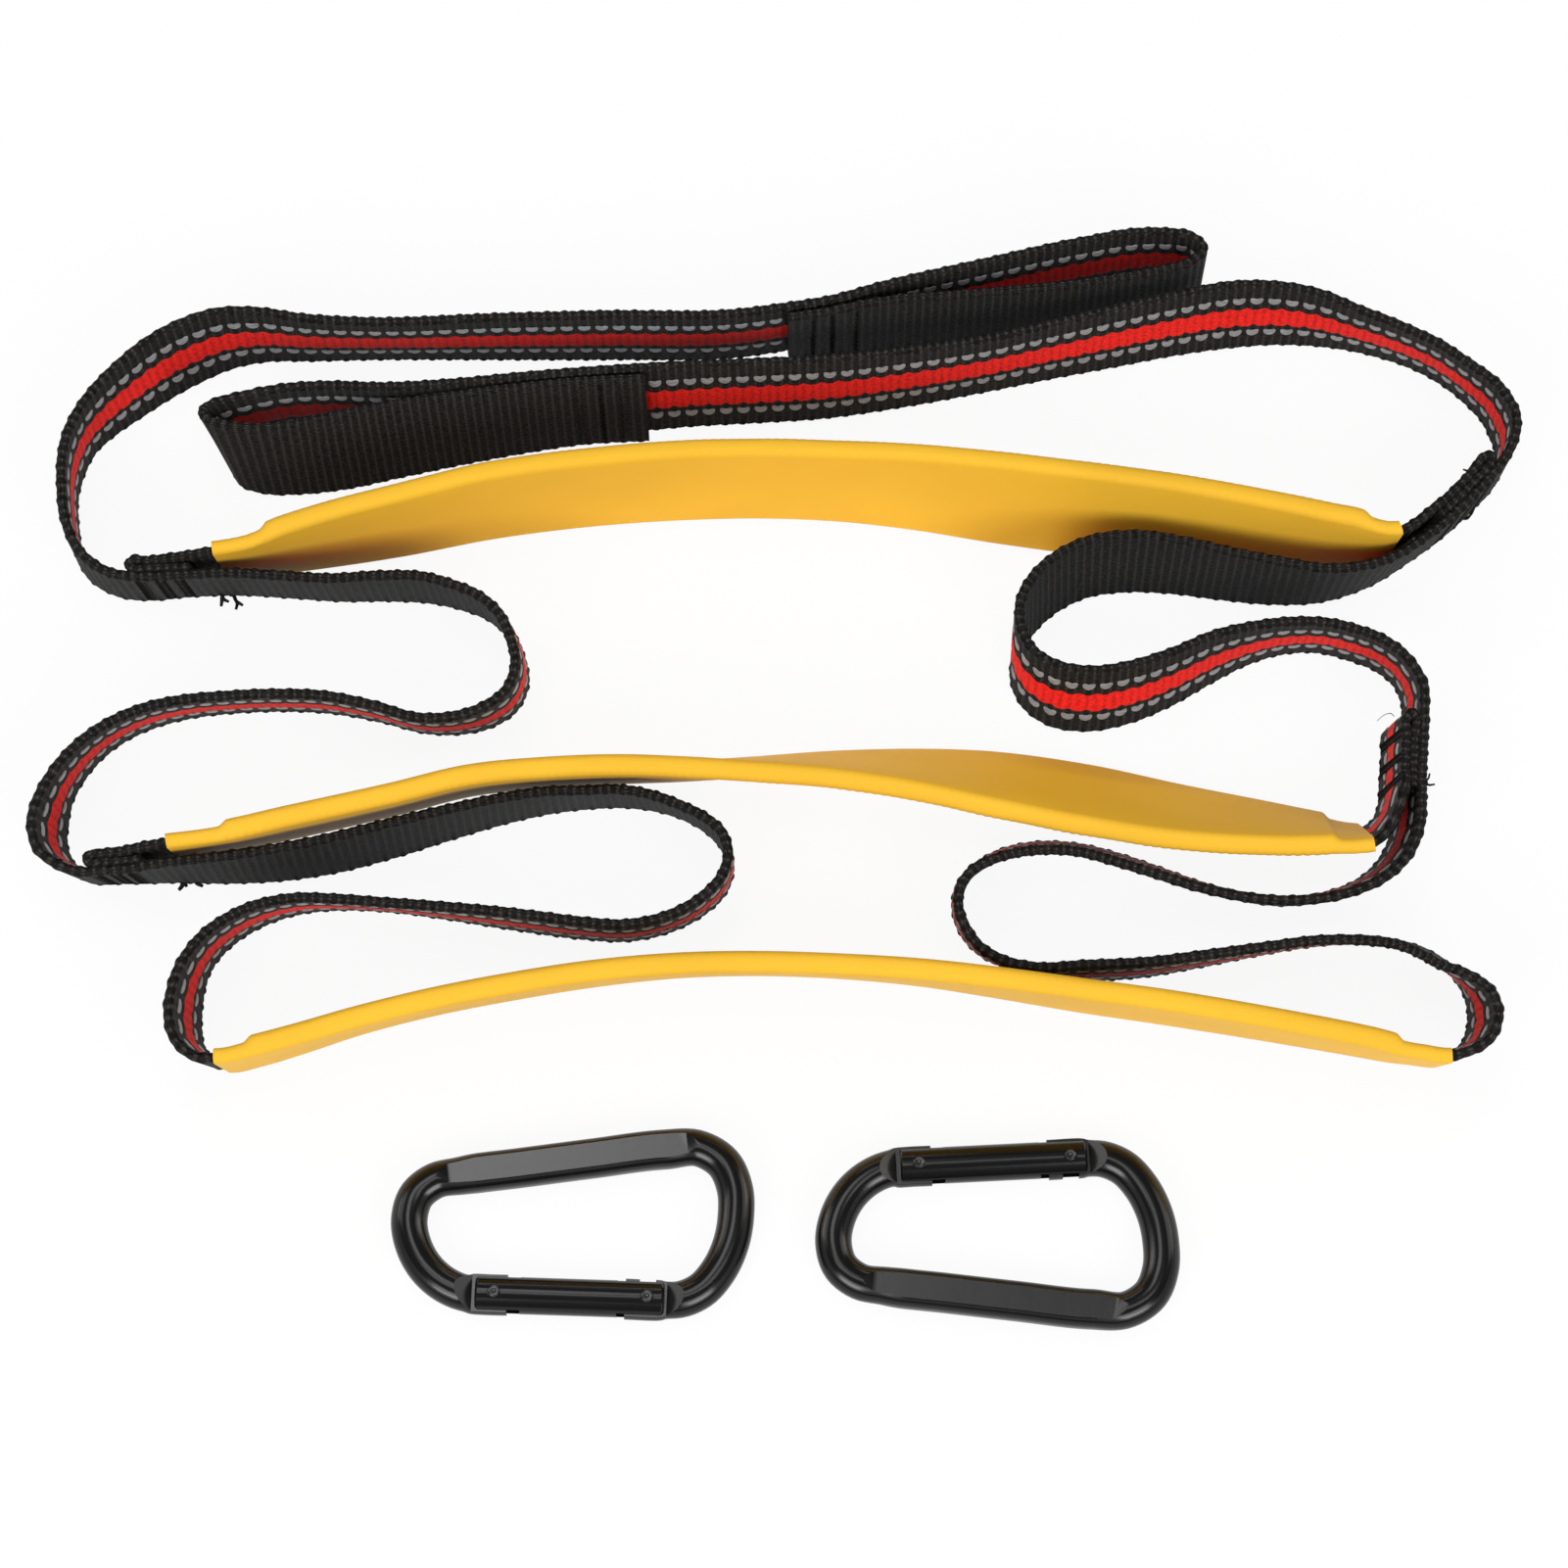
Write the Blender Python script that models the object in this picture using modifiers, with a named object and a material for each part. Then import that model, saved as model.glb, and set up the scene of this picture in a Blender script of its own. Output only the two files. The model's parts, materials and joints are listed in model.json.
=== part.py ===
"""A three-step webbing ladder and its two snap links, laid out on a flat surface.

The scene is in metres with +Z up. Routes and outlines are written in millimetres
and become metres when their points are made.
"""
import math

import bmesh
import bpy
import numpy as np
from mathutils import Matrix, Vector

# Driving dimensions
MM = 0.001
GAP = 0.3 * MM                      # clearance kept between pieces that touch
LAYOUT_SHIFT = (-0.5067, -0.9285)   # moves the whole layout so that its box is centred, mm

# Webbing, one continuous length folded into both sides and the lowest step
WEBBING_WIDTH = 25.0 * MM
WEBBING_THICKNESS = 2.0 * MM
STRAP_STEP = 4.0 * MM               # spacing of the strap's sections
TAB_LAYER = WEBBING_THICKNESS + 0.4 * MM    # from one layer of a sewn tab to the next
FOLD_STEP = 0.6 * MM                # spacing of the sections round a folded end
FOLD_REACH = 4.0 * MM               # how far from a fold the sections are that close
TANGENT_REACH = 0.5 * MM            # how far ahead and behind a route's direction is taken
STEP_LIFT = 2.6 * MM                # height of the webbing's edge inside a sleeve
LIFT_RAMP = 18.0 * MM               # length over which the webbing rises to a sleeve

# Sleeves, flat plastic tubes that make the steps stiff
SLEEVE_WIDTH = 33.0 * MM
SLEEVE_END_WIDTH = 30.2 * MM
SLEEVE_WALL = 0.8 * MM
SLEEVE_PLAY = 0.6 * MM              # room between the webbing and the sleeve on each side
SLEEVE_STEP = 9.0 * MM
SLEEVE_THIN_END = 11.0 * MM         # length at each end that has no insert in it
SLEEVE_SHOULDER = 4.0 * MM          # length over which the insert's end shows through
SLEEVE_FOLD_POINTS = 5              # points round each folded edge

# Inserts, strips that lie beside the webbing inside each sleeve
INSERT_WIDTH = 27.2 * MM
INSERT_THICKNESS = 0.8 * MM
INSERT_FOOT = 0.3 * MM              # height of the insert's edge above the webbing's edge
INSERT_END = 17.0 * MM              # distance from the sleeve's end to the insert

# Snap links
BAR_RADIUS = 4.1 * MM
SPINE_RADIUS = 4.4 * MM
SPINE_HALF_THICKNESS = 3.55 * MM    # the spine is pressed flat on both faces
SPINE_FLAT_LENGTH = 53.5 * MM
BAR_STEP = 3.0 * MM
TONGUE_HALF_THICKNESS = 1.5 * MM
HINGE_SHOULDER = -6.3 * MM          # where the bar narrows to the hinge tongue
LATCH_SHOULDER = 38.2 * MM          # where the bar narrows to the latch tongue
GATE_RADIUS = 4.1 * MM
GATE_START = -4.2 * MM
GATE_END = 37.4 * MM
FORK_HALF_GAP = 1.8 * MM
HINGE_FORK_DEPTH = 5.7 * MM
LATCH_FORK_DEPTH = 27.0 * MM
LATCH_PIN_X = 33.7 * MM
PIN_RADIUS = 1.2 * MM
PIN_HALF_LENGTH = 3.9 * MM
PLUNGER_RADIUS = 1.5 * MM
PLUNGER_START = 2.1 * MM
PLUNGER_END = 9.5 * MM
BORE_RADIUS = 1.9 * MM
BORE_END = 20.0 * MM
SPRING_START = 10.8 * MM
SPRING_END = 19.6 * MM
SPRING_RADIUS = 1.3 * MM
SPRING_WIRE_RADIUS = 0.22 * MM
SPRING_TURNS = 6
SPRING_POINTS_PER_TURN = 10
LINK_HEIGHT = BAR_RADIUS            # height of each link's middle plane when it lies flat
CUTTER_REACH = 12.0 * MM            # how far cutters run past what they cut

# How finely round pieces are faceted
BAR_ROUNDNESS = 4
WIRE_ROUNDNESS = 1
ROD_SEGMENTS = 16
GATE_SEGMENTS = 24
SHARP_ANGLE = math.radians(40.0)

# Route of the webbing. A point is the x and y of its lower edge on the surface, then
# how far its upper edge leans from straight above in x and in y, all in millimetres.
# Each stretch ends where the next one starts.
MAIN_ROUTE = (
    ("right_eye_loop", (
        (1, 109, 0, -1.5), (10, 109.8, 0, -0.8), (20, 110.8, 0, 0.5), (46.5, 112.5, 0, 1.5),
        (70, 115.5, 0, 1), (88, 119.3, 0, 0.5), (96, 121.9, 0, 0.5), (98.9, 125, 0, 0.6),
        (96.2, 128, 0, 0.8), (91, 129, 0, 0.8), (84, 128.4, 0, 1.5), (70, 125.7, 0, 1.7),
        (46.5, 120.2, 0, 1.5), (23, 114.8, 0, 1), (11, 112.8, 0, -0.7), (1, 111.3, 0, -1))),
    ("left_upper_strap", (
        (-10, 109.5, 0, -0.8), (-42, 108.8, 0, -0.6), (-66, 108.8, 0, -1.3), (-99, 108.8, 0, -2.4),
        (-113, 108.4, 0, -1), (-124, 108.1, -0.3, 1.1), (-131.6, 106.3, -1.2, 2.8),
        (-139.3, 102.6, -2.3, 3.6),
        (-146.3, 98.3, -2.7, 3.3), (-153.3, 93.3, -2.1, 2.2), (-159.5, 88.6, -0.9, 0.9), (-164, 84, 0.2, 0),
        (-166.6, 78, 0.4, 0), (-167.8, 71.5, 0.7, 0), (-167.3, 64.5, 0.5, -0.3), (-165.7, 57.1, 0.2, -1),
        (-161.8, 51, -0.2, -2.6), (-155.6, 47.5, -0.2, -4.2), (-147.2, 46.7, 0, -4.9),
        (-141, 47.4, 0, -5.3))),
    ("left_middle_strap", (
        (-126.5, 47.9, 0, -5.2), (-115, 47.2, 0, -5.2), (-104, 46.4, 0, -5), (-92, 46.4, 0, -4.3),
        (-83, 45.9, -0.3, -4), (-75.4, 44.2, -0.7, -4.3), (-68.7, 41.4, -0.9, -4.5),
        (-64, 37.1, -1, -4.6), (-61.3, 31, -1.1, -4.5), (-60.3, 24.6, -0.9, -4.4),
        (-62.7, 18.5, -0.5, -4.6), (-68.1, 14.7, -0.4, -5), (-75, 13.1, -0.3, -5.6),
        (-82, 13.2, -0.4, -6), (-93, 16, -0.5, -5.7), (-104.5, 18.2, -0.3, -5.6), (-116, 18.8, 0, -5.8),
        (-127, 18.4, 0.3, -5.9), (-137.5, 17.1, 0.8, -5.6), (-145.5, 14.9, 1.5, -5),
        (-152.5, 11.5, 2.1, -4.2), (-158, 7, 2.2, -3), (-162.3, 1.2, 1.4, -1.8),
        (-164.8, -4.5, 0, -1.3), (-165.4, -10, -2.3, -1.4), (-165.3, -15.2, -3.8, -2.6),
        (-163.5, -19.7, -3.8, -4.5), (-159.3, -22.9, -1.7, -5.8), (-150, -23.4, -0.1, -5.8))),
    ("left_lower_strap", (
        (-139, -23.2, 0, -4.3), (-126, -23.4, 0.1, -2.6), (-114.5, -22.8, 0.2, -1.4),
        (-103, -21, 0.3, -0.8), (-89.5, -17.3, 0.4, -0.9), (-76, -12.7, 0.6, -2.1),
        (-62.5, -8.5, 0.6, -3.3), (-54, -6.5, 0.4, -4.1), (-45, -5.3, 0.1, -5), (-36.5, -5, -0.3, -5.1),
        (-28, -6.2, -1.1, -5.4), (-21.2, -8.8, -1.6, -5.3), (-16.2, -12.4, -1.5, -4.4),
        (-13.2, -16.4, -0.8, -3.8), (-12.5, -21.6, 0, -3.6), (-14.3, -26.7, 0.4, -3.8),
        (-18.8, -31.2, 0.7, -4.2), (-25.7, -35, 0.7, -4.6), (-35.4, -37.3, 0.3, -4.7),
        (-45, -36.9, -0.2, -4.5), (-54.5, -35.7, -0.4, -4.4), (-63.5, -34.3, -0.5, -4.7),
        (-76.5, -32.1, -0.5, -5.7), (-89.5, -30.3, -0.4, -6.5), (-100.5, -29.8, 0, -6.2),
        (-109, -30.5, 0.4, -5.3), (-114.5, -31.9, 0.8, -4.6), (-120, -34.3, 1.2, -3.6),
        (-126, -38.5, 1.4, -2.4), (-129.4, -42.3, 1, -1.4), (-131.5, -46.4, 0, -0.8),
        (-132.3, -50.5, -1.7, -0.8), (-132.6, -55.2, -3.1, -1.6), (-132.3, -60, -3.8, -2.9),
        (-131.1, -64.6, -3, -4.7), (-128.4, -67.6, -1.1, -5.7))),
    ("lower_step_strap", (
        (-124, -68.3, 0.4, -5.2), (-118, -66.8, 1, -5.2), (-109.5, -64.1, 1.5, -5.4),
        (-96, -59.4, 1.6, -5.9), (-79, -54.8, 1.5, -6.1), (-61, -51.1, 1.2, -6.2),
        (-44, -48.2, 0.8, -6.4), (-22, -45.8, 0.3, -6.8), (-4.5, -45.4, 0, -6.9), (13, -46.1, -0.3, -6.8),
        (30.5, -47.8, -0.6, -6.3), (48, -50.6, -0.8, -5.6), (66.5, -53.9, -0.8, -5),
        (87, -57.1, -0.8, -4.8), (109, -60.8, -0.9, -5), (129, -64.4, -1, -5.4), (140, -66.4, -0.8, -6),
        (148.5, -66.8, 0.2, -6))),
    ("right_lower_strap", (
        (152.8, -64.2, 2.5, -5), (154.9, -60, 3, -3.2), (155.6, -55.3, 1, -2.2),
        (155, -51, -1.9, -3.6), (153.3, -47.4, -4, -5.2), (150.4, -44.1, -4.7, -7.3),
        (145.8, -41, -3.6, -8.3), (139, -38.8, -1.7, -8.2), (129.4, -37.8, 0, -8),
        (118.5, -38.8, 0.7, -6.9), (107.4, -40.8, 0.9, -6.3), (94, -43.6, 0.8, -5.4),
        (80.5, -46, 0.4, -4.8), (67, -46.6, -0.1, -4.9), (56, -45.2, -0.8, -6.7),
        (49.5, -43.3, -1.4, -6.8), (45, -40.8, -1.9, -6), (41.7, -37.3, -1.8, -4.4),
        (39.8, -33.2, -1, -3.8), (39.3, -28.8, 0.4, -3.8), (40.4, -24.6, 1.8, -4.6),
        (43.6, -20.8, 2.5, -6.2), (48.5, -17.6, 2.3, -7.8), (56.4, -15.4, 0.8, -9),
        (67, -15.6, -1, -9.2), (76.5, -18, -2.2, -9.1), (85.7, -21.3, -2.6, -8.7),
        (94.6, -24.7, -2.3, -8.4), (103.2, -27.2, -1.4, -8.1), (114.5, -28.7, 0, -7.6),
        (124.2, -27.3, 1.7, -7.3), (131.6, -24.2, 3.5, -6.2), (136.3, -20, 4.2, -4.7),
        (139, -15.5, 4, -2.8), (140.6, -10.2, 3, -2.4), (141.6, -4, 2.2, -3.4),
        (142.6, 5, 1.9, -4.4))),
    ("right_middle_strap", (
        (143.6, 13, 1.6, -4.2), (144.4, 18.8, 0.7, -3), (142.9, 24.1, -1.3, -2.1),
        (138.6, 28.4, -1.8, -2.3), (132.1, 31.3, -1.1, -2.7), (124, 33.4, -0.2, -3),
        (115, 32.7, 0.2, -2.1), (107, 29.9, 0, -0.3), (99, 25.4, -0.5, 2.3), (89, 19.4, -0.7, 4),
        (79.3, 15.2, -0.5, 5.2), (69.5, 13.4, 0.2, 5.8), (61.3, 14.9, 0.8, 5.7), (56, 19.2, 0.8, 4.9),
        (53.7, 25, 0.4, 4.8), (54.2, 31.2, -0.2, 4.6), (57.4, 37.2, -0.8, 4.3), (63, 42.8, -1.1, 4.1),
        (70.5, 46.8, -0.9, 4.2), (79.6, 48.3, -0.2, 4.3), (91, 48, 0.2, 3), (102, 46.6, 0.2, 1.6),
        (113.7, 45.5, 0, 0.2), (125, 46, 0.4, -2.2), (137, 50.1, 1.5, -4), (146.5, 56.3, 2.1, -3.8),
        (154.5, 62.4, 2.1, -2.9), (161.9, 69.4, 1.8, -2), (166.1, 73.8, 1.4, -1.3))),
    ("right_upper_strap", (
        (168.9, 78.4, 0.8, -0.6), (169.7, 83.2, 0.3, -0.3), (168.6, 87.6, -0.3, -0.5),
        (166.8, 92.1, -1.1, -1.3), (164, 95.8, -1.8, -2), (160.4, 99.6, -2.2, -2.7),
        (155.3, 103.6, -2, -3),
        (149.3, 106.9, -1.7, -3.2), (142.5, 109.4, -1.1, -2.7), (135, 111.3, -0.5, -1.6),
        (127, 112.3, 0.1, 1.1), (117.3, 112.5, 0.1, 3.4), (106, 111.5, -0.4, 4.8),
        (94, 109.7, -0.6, 4.1), (78.5, 106.5, -0.6, 3.5), (63, 103.4, -0.4, 2.5),
        (46.4, 99.8, -0.3, 2), (28.2, 96.1, -0.3, 2.9), (9.6, 93.1, -0.3, 3.9),
        (-6.7, 91.9, -0.3, 4.3), (-23, 90.9, -0.4, 4.6), (-32, 90, -0.4, 5))),
    ("left_eye_loop", (
        (-47, 89.1, -0.2, 4.8), (-61, 89.3, -0.1, 3.2), (-77, 89.5, -0.1, 1.2), (-93.5, 89.8, 0, -0.1),
        (-107, 90.6, 0, -0.6), (-116.5, 90.2, -0.8, -1), (-123, 88.5, -3, -1), (-127.8, 84.8, -5.2, 0.9),
        (-129.6, 80, -5.8, 3.6), (-128, 75.6, -4.8, 5.8), (-122.5, 73.4, -2.6, 6.6),
        (-115, 73.2, -1.2, 7.2), (-104.5, 74.3, -1.5, 8.6), (-91, 77.4, -1.6, 8.4),
        (-76, 80.9, -1.2, 7.1), (-61, 84, -0.8, 6), (-47, 86.3, -0.5, 5.1), (-32, 87.2, -0.4, 5))),
)

# Routes of the two sewn-in steps between their sewn tabs, in the same form
UPPER_STEP_ROUTE = (
    (-130.5, 52.4, 0, -5.4), (-123, 53.1, 0, -4.8), (-113, 54.3, 0, -2.5), (-102, 56, 0, -0.8),
    (-90, 58.1, 0, 0.3), (-68, 62.7, 0, 1.4), (-45.5, 65.8, 0, 1.7), (-23, 67.5, 0, 2),
    (-4.5, 67.9, 0, 2), (13, 67.1, 0, 2.3), (31, 64.9, 0.2, 3.5), (49, 61.7, 0.4, 4.8),
    (67, 59, 0.4, 5.2), (90, 56.3, 0.3, 4.6), (113, 54.6, 0, 2), (129, 54, 0, -0.6),
    (140.5, 55.8, 0.8, -3.8))
MIDDLE_STEP_ROUTE = (
    (-137.8, -18.3, 0.2, -5.4), (-128.5, -16, 1.1, -6.2), (-111.5, -12.2, 1.5, -6),
    (-89.5, -6.8, 1.5, -6.2), (-71.5, -2, 1.1, -6.5), (-54, 0, 0.5, -6.7), (-36, 1, 0.1, -7),
    (-23, 1.5, 0.1, -7.8), (-9, 2.4, -0.1, -9.2), (14, 4, -0.6, -11.9), (32, 4.3, -1.2, -14.2),
    (46.5, 3.7, -2.1, -15.9), (69.5, 0.4, -2.9, -16.8), (92, -4.7, -2.4, -15.9), (113, -9, -1.5, -13.8),
    (124, -11.3, -0.9, -12), (129.5, -12.4, -0.6, -11.2), (133, -12.4, -0.1, -10.4),
    (135.6, -10.4, 0.9, -8.2))

# Sewn tabs: stretch of webbing, first and last point of the tab along it, mm
UPPER_TABS = (((-149.4, 46.9), (-136, 47.5)), ((150.7, 59.2), (163.4, 71.2)))
MIDDLE_TABS = (((-154.4, -23.3), (-144, -23.3)), ((141.5, -6.5), (143.2, 11.2)))

# Ends of each sleeve along its strap, mm
SLEEVES = (
    ("upper_sleeve", "upper_insert", (-130.5, 52.4), (140, 55.7)),
    ("middle_sleeve", "middle_insert", (-137.8, -18.3), (132, -12.8)),
    ("lower_sleeve", "lower_insert", (-125, -68.3), (146.5, -66.9)),
)

# Centre line of a snap link's bar seen from above, from the hinge tongue round the
# narrow end, the spine and the wide end to the latch tongue, mm
LINK_OUTLINE = (
    (1.8, 0), (-2.5, 0), (-7, 0.3), (-11.2, 2), (-15.2, 5.2), (-18.6, 10.6), (-19.9, 16.6), (-18.6, 22),
    (-14.8, 25.4), (-9, 26.8), (4, 29), (20, 31.7), (36, 34.3), (43.8, 34.8), (49.3, 31.6), (52, 26),
    (52.5, 19.5), (51.5, 12.8), (49, 6.9), (45.4, 2.5), (41.2, 0.4), (37, 0), (28.8, 0))
SPINE_START = (-9.0, 26.8)
SPINE_END = (40.5, 34.7)
SPINE_MIDDLE = (14.7, 30.8)

# Each link: name, hinge pin on the surface in mm, turn in degrees, turned over or not
LINKS = (
    ("link_1", (-63.8, -121.4), -1.9, False),
    ("link_2", (30, -92.2), 2.9, True),
)


def start_scene():
    """Empties the scene and makes one collection for the parts and one for cutters."""
    for item in list(bpy.data.objects):
        bpy.data.objects.remove(item, do_unlink=True)
    collections = []
    for name in ("webbing_ladder", "cutters"):
        collection = bpy.data.collections.new(name)
        bpy.context.scene.collection.children.link(collection)
        collections.append(collection)
    return collections


PARTS, CUTTERS = start_scene()


def material(name, colour, roughness, metallic=0.0):
    """A Principled material of one colour."""
    made = bpy.data.materials.new(name)
    made.use_nodes = True
    shader = made.node_tree.nodes["Principled BSDF"]
    shader.inputs["Base Color"].default_value = (*colour, 1.0)
    shader.inputs["Roughness"].default_value = roughness
    shader.inputs["Metallic"].default_value = metallic
    made.diffuse_color = (*colour, 1.0)
    return made


BLACK_WEBBING = material("black_webbing", (0.018, 0.018, 0.019), 0.8)
YELLOW_PLASTIC = material("yellow_plastic", (0.86, 0.53, 0.07), 0.4)
INSERT_PLASTIC = material("insert_plastic", (0.25, 0.25, 0.25), 0.6)
BLACK_ALUMINIUM = material("black_aluminium", (0.02, 0.02, 0.02), 0.4, 1.0)
BLACK_STEEL = material("black_steel", (0.03, 0.03, 0.03), 0.4, 1.0)
SPRING_STEEL = material("spring_steel", (0.5, 0.5, 0.5), 0.3, 1.0)


def add_object(name, data, finish, collection=PARTS):
    """Puts a mesh or curve in the scene as a named object with its material."""
    made = bpy.data.objects.new(name, data)
    collection.objects.link(made)
    if finish:
        data.materials.append(finish)
    return made


# Routes

def smooth_curve(points, steps=24):
    """A dense smooth curve through route points, and each point's distance along it."""
    route = np.array(points, dtype=float) * MM
    knots = np.concatenate(([0.0], np.cumsum(np.linalg.norm(np.diff(route[:, :2], axis=0), axis=1))))
    slopes = np.gradient(route, knots, axis=0)
    rows = []
    for index in range(len(route) - 1):
        span = knots[index + 1] - knots[index]
        for step in range(steps):
            u = step / steps
            rows.append((2 * u**3 - 3 * u**2 + 1) * route[index]
                        + (u**3 - 2 * u**2 + u) * span * slopes[index]
                        + (3 * u**2 - 2 * u**3) * route[index + 1]
                        + (u**3 - u**2) * span * slopes[index + 1])
    rows.append(route[-1])
    dense = np.array(rows)
    travel = np.concatenate(([0.0], np.cumsum(np.linalg.norm(np.diff(dense[:, :2], axis=0), axis=1))))
    return dense, travel, travel[::steps]


def samples_at(curve, distances):
    """Route values at the given distances along a dense curve."""
    dense, travel, _ = curve
    return np.column_stack([np.interp(distances, travel, column) for column in dense.T])


def distance_to(curve, point):
    """Distance along a dense curve of its nearest place to a point in millimetres."""
    dense, travel, _ = curve
    offsets = dense[:, :2] - np.array(point) * MM
    return travel[np.argmin(np.linalg.norm(offsets, axis=1))]


def even_distances(start, end, step):
    """Evenly spaced distances, no further apart than the step."""
    return np.linspace(start, end, int(math.ceil((end - start) / step)) + 1)


def section_frames(curve, distances, lifts):
    """Foot, upward and sideways direction of the webbing at distances along its route."""
    samples = samples_at(curve, distances)
    ahead = samples_at(curve, np.array(distances) + TANGENT_REACH)
    behind = samples_at(curve, np.array(distances) - TANGENT_REACH)
    tangents = (ahead - behind)[:, :2] + (ahead - behind)[:, 2:] / 2
    frames = []
    for (x, y, lean_x, lean_y), tangent, lift in zip(samples, tangents, lifts):
        rise = math.sqrt(WEBBING_WIDTH**2 - lean_x**2 - lean_y**2)
        up = Vector((lean_x, lean_y, rise)).normalized()
        side = up.cross(Vector((*tangent, 0.0))).normalized()
        foot = Vector((x, y, lift + abs(side.z) * WEBBING_THICKNESS / 2))
        foot += Vector((*LAYOUT_SHIFT, 0.0)) * MM
        frames.append((foot, up, side))
    return frames


# Solids made along a route

def loft(name, rings, finish, capped=True):
    """A solid, or an open tube, with one ring of points after another."""
    mesh = bmesh.new()
    rows = [[mesh.verts.new(point) for point in ring] for ring in rings]
    for row, following in zip(rows, rows[1:]):
        for index, corner in enumerate(row):
            after = (index + 1) % len(row)
            mesh.faces.new((corner, row[after], following[after], following[index]))
    if capped:
        mesh.faces.new(list(reversed(rows[0])))
        mesh.faces.new(rows[-1])
        bmesh.ops.recalc_face_normals(mesh, faces=mesh.faces)
    data = bpy.data.meshes.new(name)
    mesh.to_mesh(data)
    mesh.free()
    return add_object(name, data, finish)


def flat_bar(name, frames, middle, thickness, low, high, finish):
    """A strip with a rectangular section, its middle set sideways from the route."""
    corners = ((-0.5, low), (0.5, low), (0.5, high), (-0.5, high))
    rings = []
    for foot, up, side in frames:
        rings.append([foot + side * (middle + across * thickness) + up * along
                      for across, along in corners])
    return loft(name, rings, finish)


def strap(name, curve, start, end, lift, folds=()):
    """A stretch of webbing between two distances along its route, with closer sections at folds."""
    distances = even_distances(start, end, STRAP_STEP)
    for fold in folds:
        close = even_distances(max(fold - FOLD_REACH, start), min(fold + FOLD_REACH, end), FOLD_STEP)
        apart = distances[np.abs(distances - fold) > FOLD_REACH + FOLD_STEP]
        distances = np.sort(np.concatenate((apart, close)))
    frames = section_frames(curve, distances, [lift(distance) for distance in distances])
    return flat_bar(name, frames, 0.0, WEBBING_THICKNESS, 0.0, WEBBING_WIDTH, BLACK_WEBBING)


def sleeve_ring(foot, up, side, back, width):
    """The outline of a flat tube round the webbing, with its back face at a given distance."""
    front = WEBBING_THICKNESS / 2 + SLEEVE_PLAY + SLEEVE_WALL
    radius = (front + back) / 2
    centre = foot + side * (back - front) / 2
    low = radius - STEP_LIFT
    high = width - STEP_LIFT - radius
    ring = []
    for height, first_turn in ((high, 0.0), (low, math.pi)):
        for index in range(SLEEVE_FOLD_POINTS):
            turn = first_turn + math.pi * index / (SLEEVE_FOLD_POINTS - 1)
            ring.append(centre + side * radius * math.cos(turn) + up * (height + radius * math.sin(turn)))
    return ring


def sleeve_with_insert(sleeve_name, insert_name, curve, start, end):
    """A flat plastic tube over the webbing, and the strip that stiffens it."""
    thin_back = WEBBING_THICKNESS / 2 + SLEEVE_PLAY + SLEEVE_WALL
    full_back = thin_back + INSERT_THICKNESS + GAP
    shoulder = SLEEVE_THIN_END + SLEEVE_SHOULDER
    distances = np.concatenate((
        even_distances(start, start + SLEEVE_THIN_END, SLEEVE_SHOULDER)[:-1],
        even_distances(start + SLEEVE_THIN_END, start + shoulder, SLEEVE_SHOULDER / 2),
        even_distances(start + shoulder, end - shoulder, SLEEVE_STEP)[1:-1],
        even_distances(end - shoulder, end - SLEEVE_THIN_END, SLEEVE_SHOULDER / 2),
        even_distances(end - SLEEVE_THIN_END, end, SLEEVE_SHOULDER)[1:]))
    frames = section_frames(curve, distances, [STEP_LIFT] * len(distances))
    rings = []
    for distance, (foot, up, side) in zip(distances, frames):
        from_end = min(distance - start, end - distance)
        share = min(max((from_end - SLEEVE_THIN_END) / SLEEVE_SHOULDER, 0.0), 1.0)
        back = thin_back + share * (full_back - thin_back)
        width = SLEEVE_END_WIDTH + share * (SLEEVE_WIDTH - SLEEVE_END_WIDTH)
        rings.append(sleeve_ring(foot, up, side, back, width))
    sleeve = loft(sleeve_name, rings, YELLOW_PLASTIC, capped=False)
    wall = sleeve.modifiers.new("wall", "SOLIDIFY")
    wall.thickness = SLEEVE_WALL
    wall.offset = -1.0
    wall.use_even_offset = True

    inside = even_distances(start + INSERT_END, end - INSERT_END, STRAP_STEP)
    inside_frames = section_frames(curve, inside, [STEP_LIFT] * len(inside))
    middle = (WEBBING_THICKNESS + SLEEVE_PLAY + GAP + INSERT_THICKNESS) / 2
    flat_bar(insert_name, inside_frames, middle, INSERT_THICKNESS,
             INSERT_FOOT, INSERT_FOOT + INSERT_WIDTH, INSERT_PLASTIC)


def tab_points(curve, ends, layers, count=5):
    """Route points of a tab's layer on the left side of the webbing, counted in layers from it."""
    first, last = [distance_to(curve, point) for point in ends]
    samples = samples_at(curve, np.linspace(first, last, count))
    points = []
    for (x, y, lean_x, lean_y), tangent in zip(samples, np.gradient(samples[:, :2], axis=0)):
        left = Vector((-tangent[1], tangent[0])).normalized()
        lean = math.asin((left.x * lean_x + left.y * lean_y) / WEBBING_WIDTH)
        offset = layers * TAB_LAYER / math.cos(lean)
        points.append(((x + left.x * offset) / MM, (y + left.y * offset) / MM, lean_x / MM, lean_y / MM))
    return points


def folded_tab(curve, ends, fold_first):
    """Route points of a step's sewn end: it runs along the webbing, folds and runs back under itself."""
    over = tab_points(curve, ends, 2)
    under = tab_points(curve, ends, 1)
    if fold_first:
        tip, before = over[0], over[1]
        facing = under[0]
    else:
        tip, before = over[-1], over[-2]
        facing = under[-1]
    ahead = (Vector(tip[:2]) - Vector(before[:2])).normalized() * TAB_LAYER / 2 / MM
    turn = [(a + b) / 2 for a, b in zip(tip, facing)]
    turn[0] += ahead.x
    turn[1] += ahead.y
    if fold_first:
        return under[::-1] + [tuple(turn)] + over
    return over + [tuple(turn)] + under[::-1]


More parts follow.
